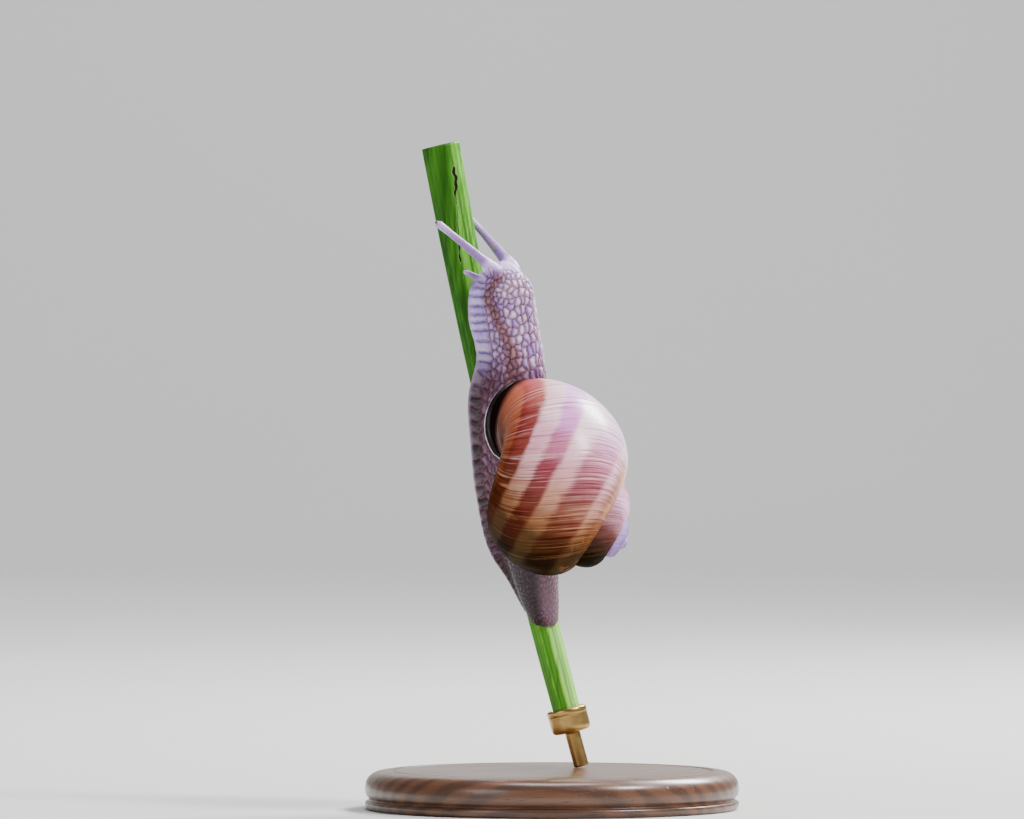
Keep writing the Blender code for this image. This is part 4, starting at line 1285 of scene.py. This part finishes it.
# %% Walnut
recipe = Recipe("walnut", {"Coat Weight": 0.5, "Coat Roughness": 0.2})
warp = recipe.noise((14, 60, 60), 3)
layers = recipe.place("Y") * 1500 + recipe.place("Z") * 1100 + warp * 18
rings = layers.math("SINE", layers, 0)
pores = recipe.noise((160, 2600, 2600), 2).step(0.6, 0.72)
wood = recipe.mix((78, 48, 31), (104, 66, 43), (rings * 0.5 + 0.5).step(0.1, 0.9))
wood = recipe.mix(wood, (40, 23, 15), pores * 0.7)
recipe.finish([base], wood, warp.step(0.3, 0.7, 0.3, 0.42), 1 - pores, 0.05 * MM)

# %% [markdown]
# The rod and the cup follow the stem's own line, so the cup sits square on the stem's end. Both are
# turned like the base, from a profile each: a plain rod, and a cup with a thin wall and a rolled brim.

# %% Brass rod and cup
CUP_FOOT, CUP_BRIM, CUP_WALL = 15.25, 20.15, 0.9  # mm: heights along the stem's line, and a thickness
ROD_IN_CUP = 1.25  # mm over the cup's lowest point, which is just into its floor


def on_stem(name, outline):
    """A piece turned about the stem's line from an outline in mm."""
    profile = rounded(np.array(outline) * MM, 2)
    return turned(name, profile, stem_line(profile[:, 1]), STEM_SLOPE)


out = (ROD_HIGH[1] - ROD_LOW[1]) / 2 / MM
low, high = top, CUP_LOW[2] / MM + ROD_IN_CUP
rod = on_stem("stand_rod_brass", [
    (ON_AXIS, low + 0.25), (out, low + 0.3), (out, low + 1.0), (out, high - 1.0), (out, high),
    (ON_AXIS, high + 0.05),
])
stand_for(rod, "stand_metal", "stand_rod")
out = (CUP_HIGH[1] - CUP_LOW[1]) / 2 / MM
well = out - CUP_WALL
cup = on_stem("stand_cup_brass", [
    (ON_AXIS, CUP_FOOT), (1.9, CUP_FOOT), (out - 0.5, CUP_FOOT + 0.1), (out - 0.05, CUP_FOOT + 0.7),
    (out - 0.08, CUP_BRIM - 1.3), (out, CUP_BRIM - 1.1), (out, CUP_BRIM - 0.3), (out - 0.3, CUP_BRIM),
    (well + 0.2, CUP_BRIM), (well + 0.02, CUP_BRIM - 0.3), (well, CUP_FOOT + 2.2),
    (well - 0.3, CUP_FOOT + 1.5), (ON_AXIS, CUP_FOOT + 1.45),
])
stand_for(cup, "stand_metal", "stand_cup")

# %% [markdown]
# Satin brass shows the fine level scratches of the lathe and a slow change of tone where it has
# tarnished. Both are noise: the scratches are stretched round the piece, and the tarnish isn't.

# %% Brass
recipe = Recipe("brass_satin", {"Metallic": 1.0})
scratch, tarnish = recipe.noise((90, 90, 5200), 3), recipe.noise(140)
metal = recipe.mix((206, 170, 104), (176, 138, 82), tarnish.step(0.4, 0.7))
rough = scratch.step(0.25, 0.75, 0.24, 0.36) + tarnish * 0.08
recipe.finish([rod, cup], metal, rough, scratch, 0.02 * MM)

# %% [markdown]
# ## Floor, light and camera
#
# The set is a studio sweep: a pale floor that curves up into the wall behind. A floor and a wall apart
# would show an edge behind the snail. The bend is far off, so that its shade doesn't reach the snail.

# %% Floor and backdrop
turn = np.linspace(0, np.pi / 2, 24)
bend = np.stack([2.3 + 0.6 * np.sin(turn), 0.6 - 0.6 * np.cos(turn)], -1)
profile = np.concatenate([[(-4.0, 0.0), (0.0, 0.0)], bend, [(2.9, 3.2)]])
across = np.linspace(-4, 4, 3)
sweep = np.stack(np.broadcast_arrays(across[None], profile[:, :1], profile[:, 1:]), -1)
floor = surface("floor_and_backdrop", sweep)
recipe = Recipe("backdrop_pale", {})
mottle = recipe.noise(3.0, 2)
paper = recipe.mix((206, 208, 206), (214, 215, 212), mottle)
recipe.finish([floor], paper, mottle.step(0.3, 0.7, 0.8, 0.9))

# %% [markdown]
# A key lamp at the upper right shapes the shell, a weak wide one on the left fills its shadows, and
# one from behind draws the edge. Two more light the floor and the wall from above. All are discs, which
# give soft shadows and round highlights. The sky adds a little blue everywhere.


# %% Light
def lamp(name, place, size, power, aim=(0, 0, 0.075), colour=(1, 1, 1)):
    """A disc of light, size metres wide, that looks from its place to its aim."""
    light = bpy.data.lights.new(name, "AREA")
    light.shape, light.size, light.energy, light.color = "DISK", size, power, colour
    obj = placed(name, light)
    obj.location = place
    obj.rotation_euler = (Vector(aim) - Vector(place)).to_track_quat("-Z", "Y").to_euler()
    print(f"{name} lamp: {power} W")


lamp("key", (0.75, -0.4, 0.9), 0.3, 16.0, colour=(1.0, 0.97, 0.96))
lamp("fill", (-0.8, -0.9, 0.5), 0.6, 3.5, colour=(0.9, 0.94, 1.0))
lamp("edge", (0.6, 0.6, 0.8), 0.4, 24.0)
lamp("top", (0.0, 0.1, 1.7), 0.8, 22.0, aim=(0, 1.3, 0.3))
lamp("backdrop", (0.0, 1.6, 1.8), 0.8, 26.0, aim=(0, 2.9, 0.3))
world = bpy.data.worlds.new("studio")
world.use_nodes = True
sky = world.node_tree.nodes["Background"].inputs
sky["Color"].default_value, sky["Strength"].default_value = (0.85, 0.9, 1.0, 1), 0.17
bpy.context.scene.world = world

# %% [markdown]
# The camera is level and far off with a long lens, so that near and far parts keep their true sizes.
# The lens follows from how far off the camera is and how much of the scene it takes in there.

# %% Camera
DISTANCE, MIDDLE_X, MIDDLE_Z, ACROSS = 1.5, -8.1 * MM, 81.1 * MM, 207.9 * MM
view = bpy.data.cameras.new("camera")
view.sensor_width = 36
view.lens = view.sensor_width * DISTANCE / ACROSS
camera = placed("camera", view)
camera.location = (MIDDLE_X, -DISTANCE, MIDDLE_Z)
camera.rotation_euler = (np.pi / 2, 0, 0)
bpy.context.scene.camera = camera
print("lens:", round(view.lens), "mm")
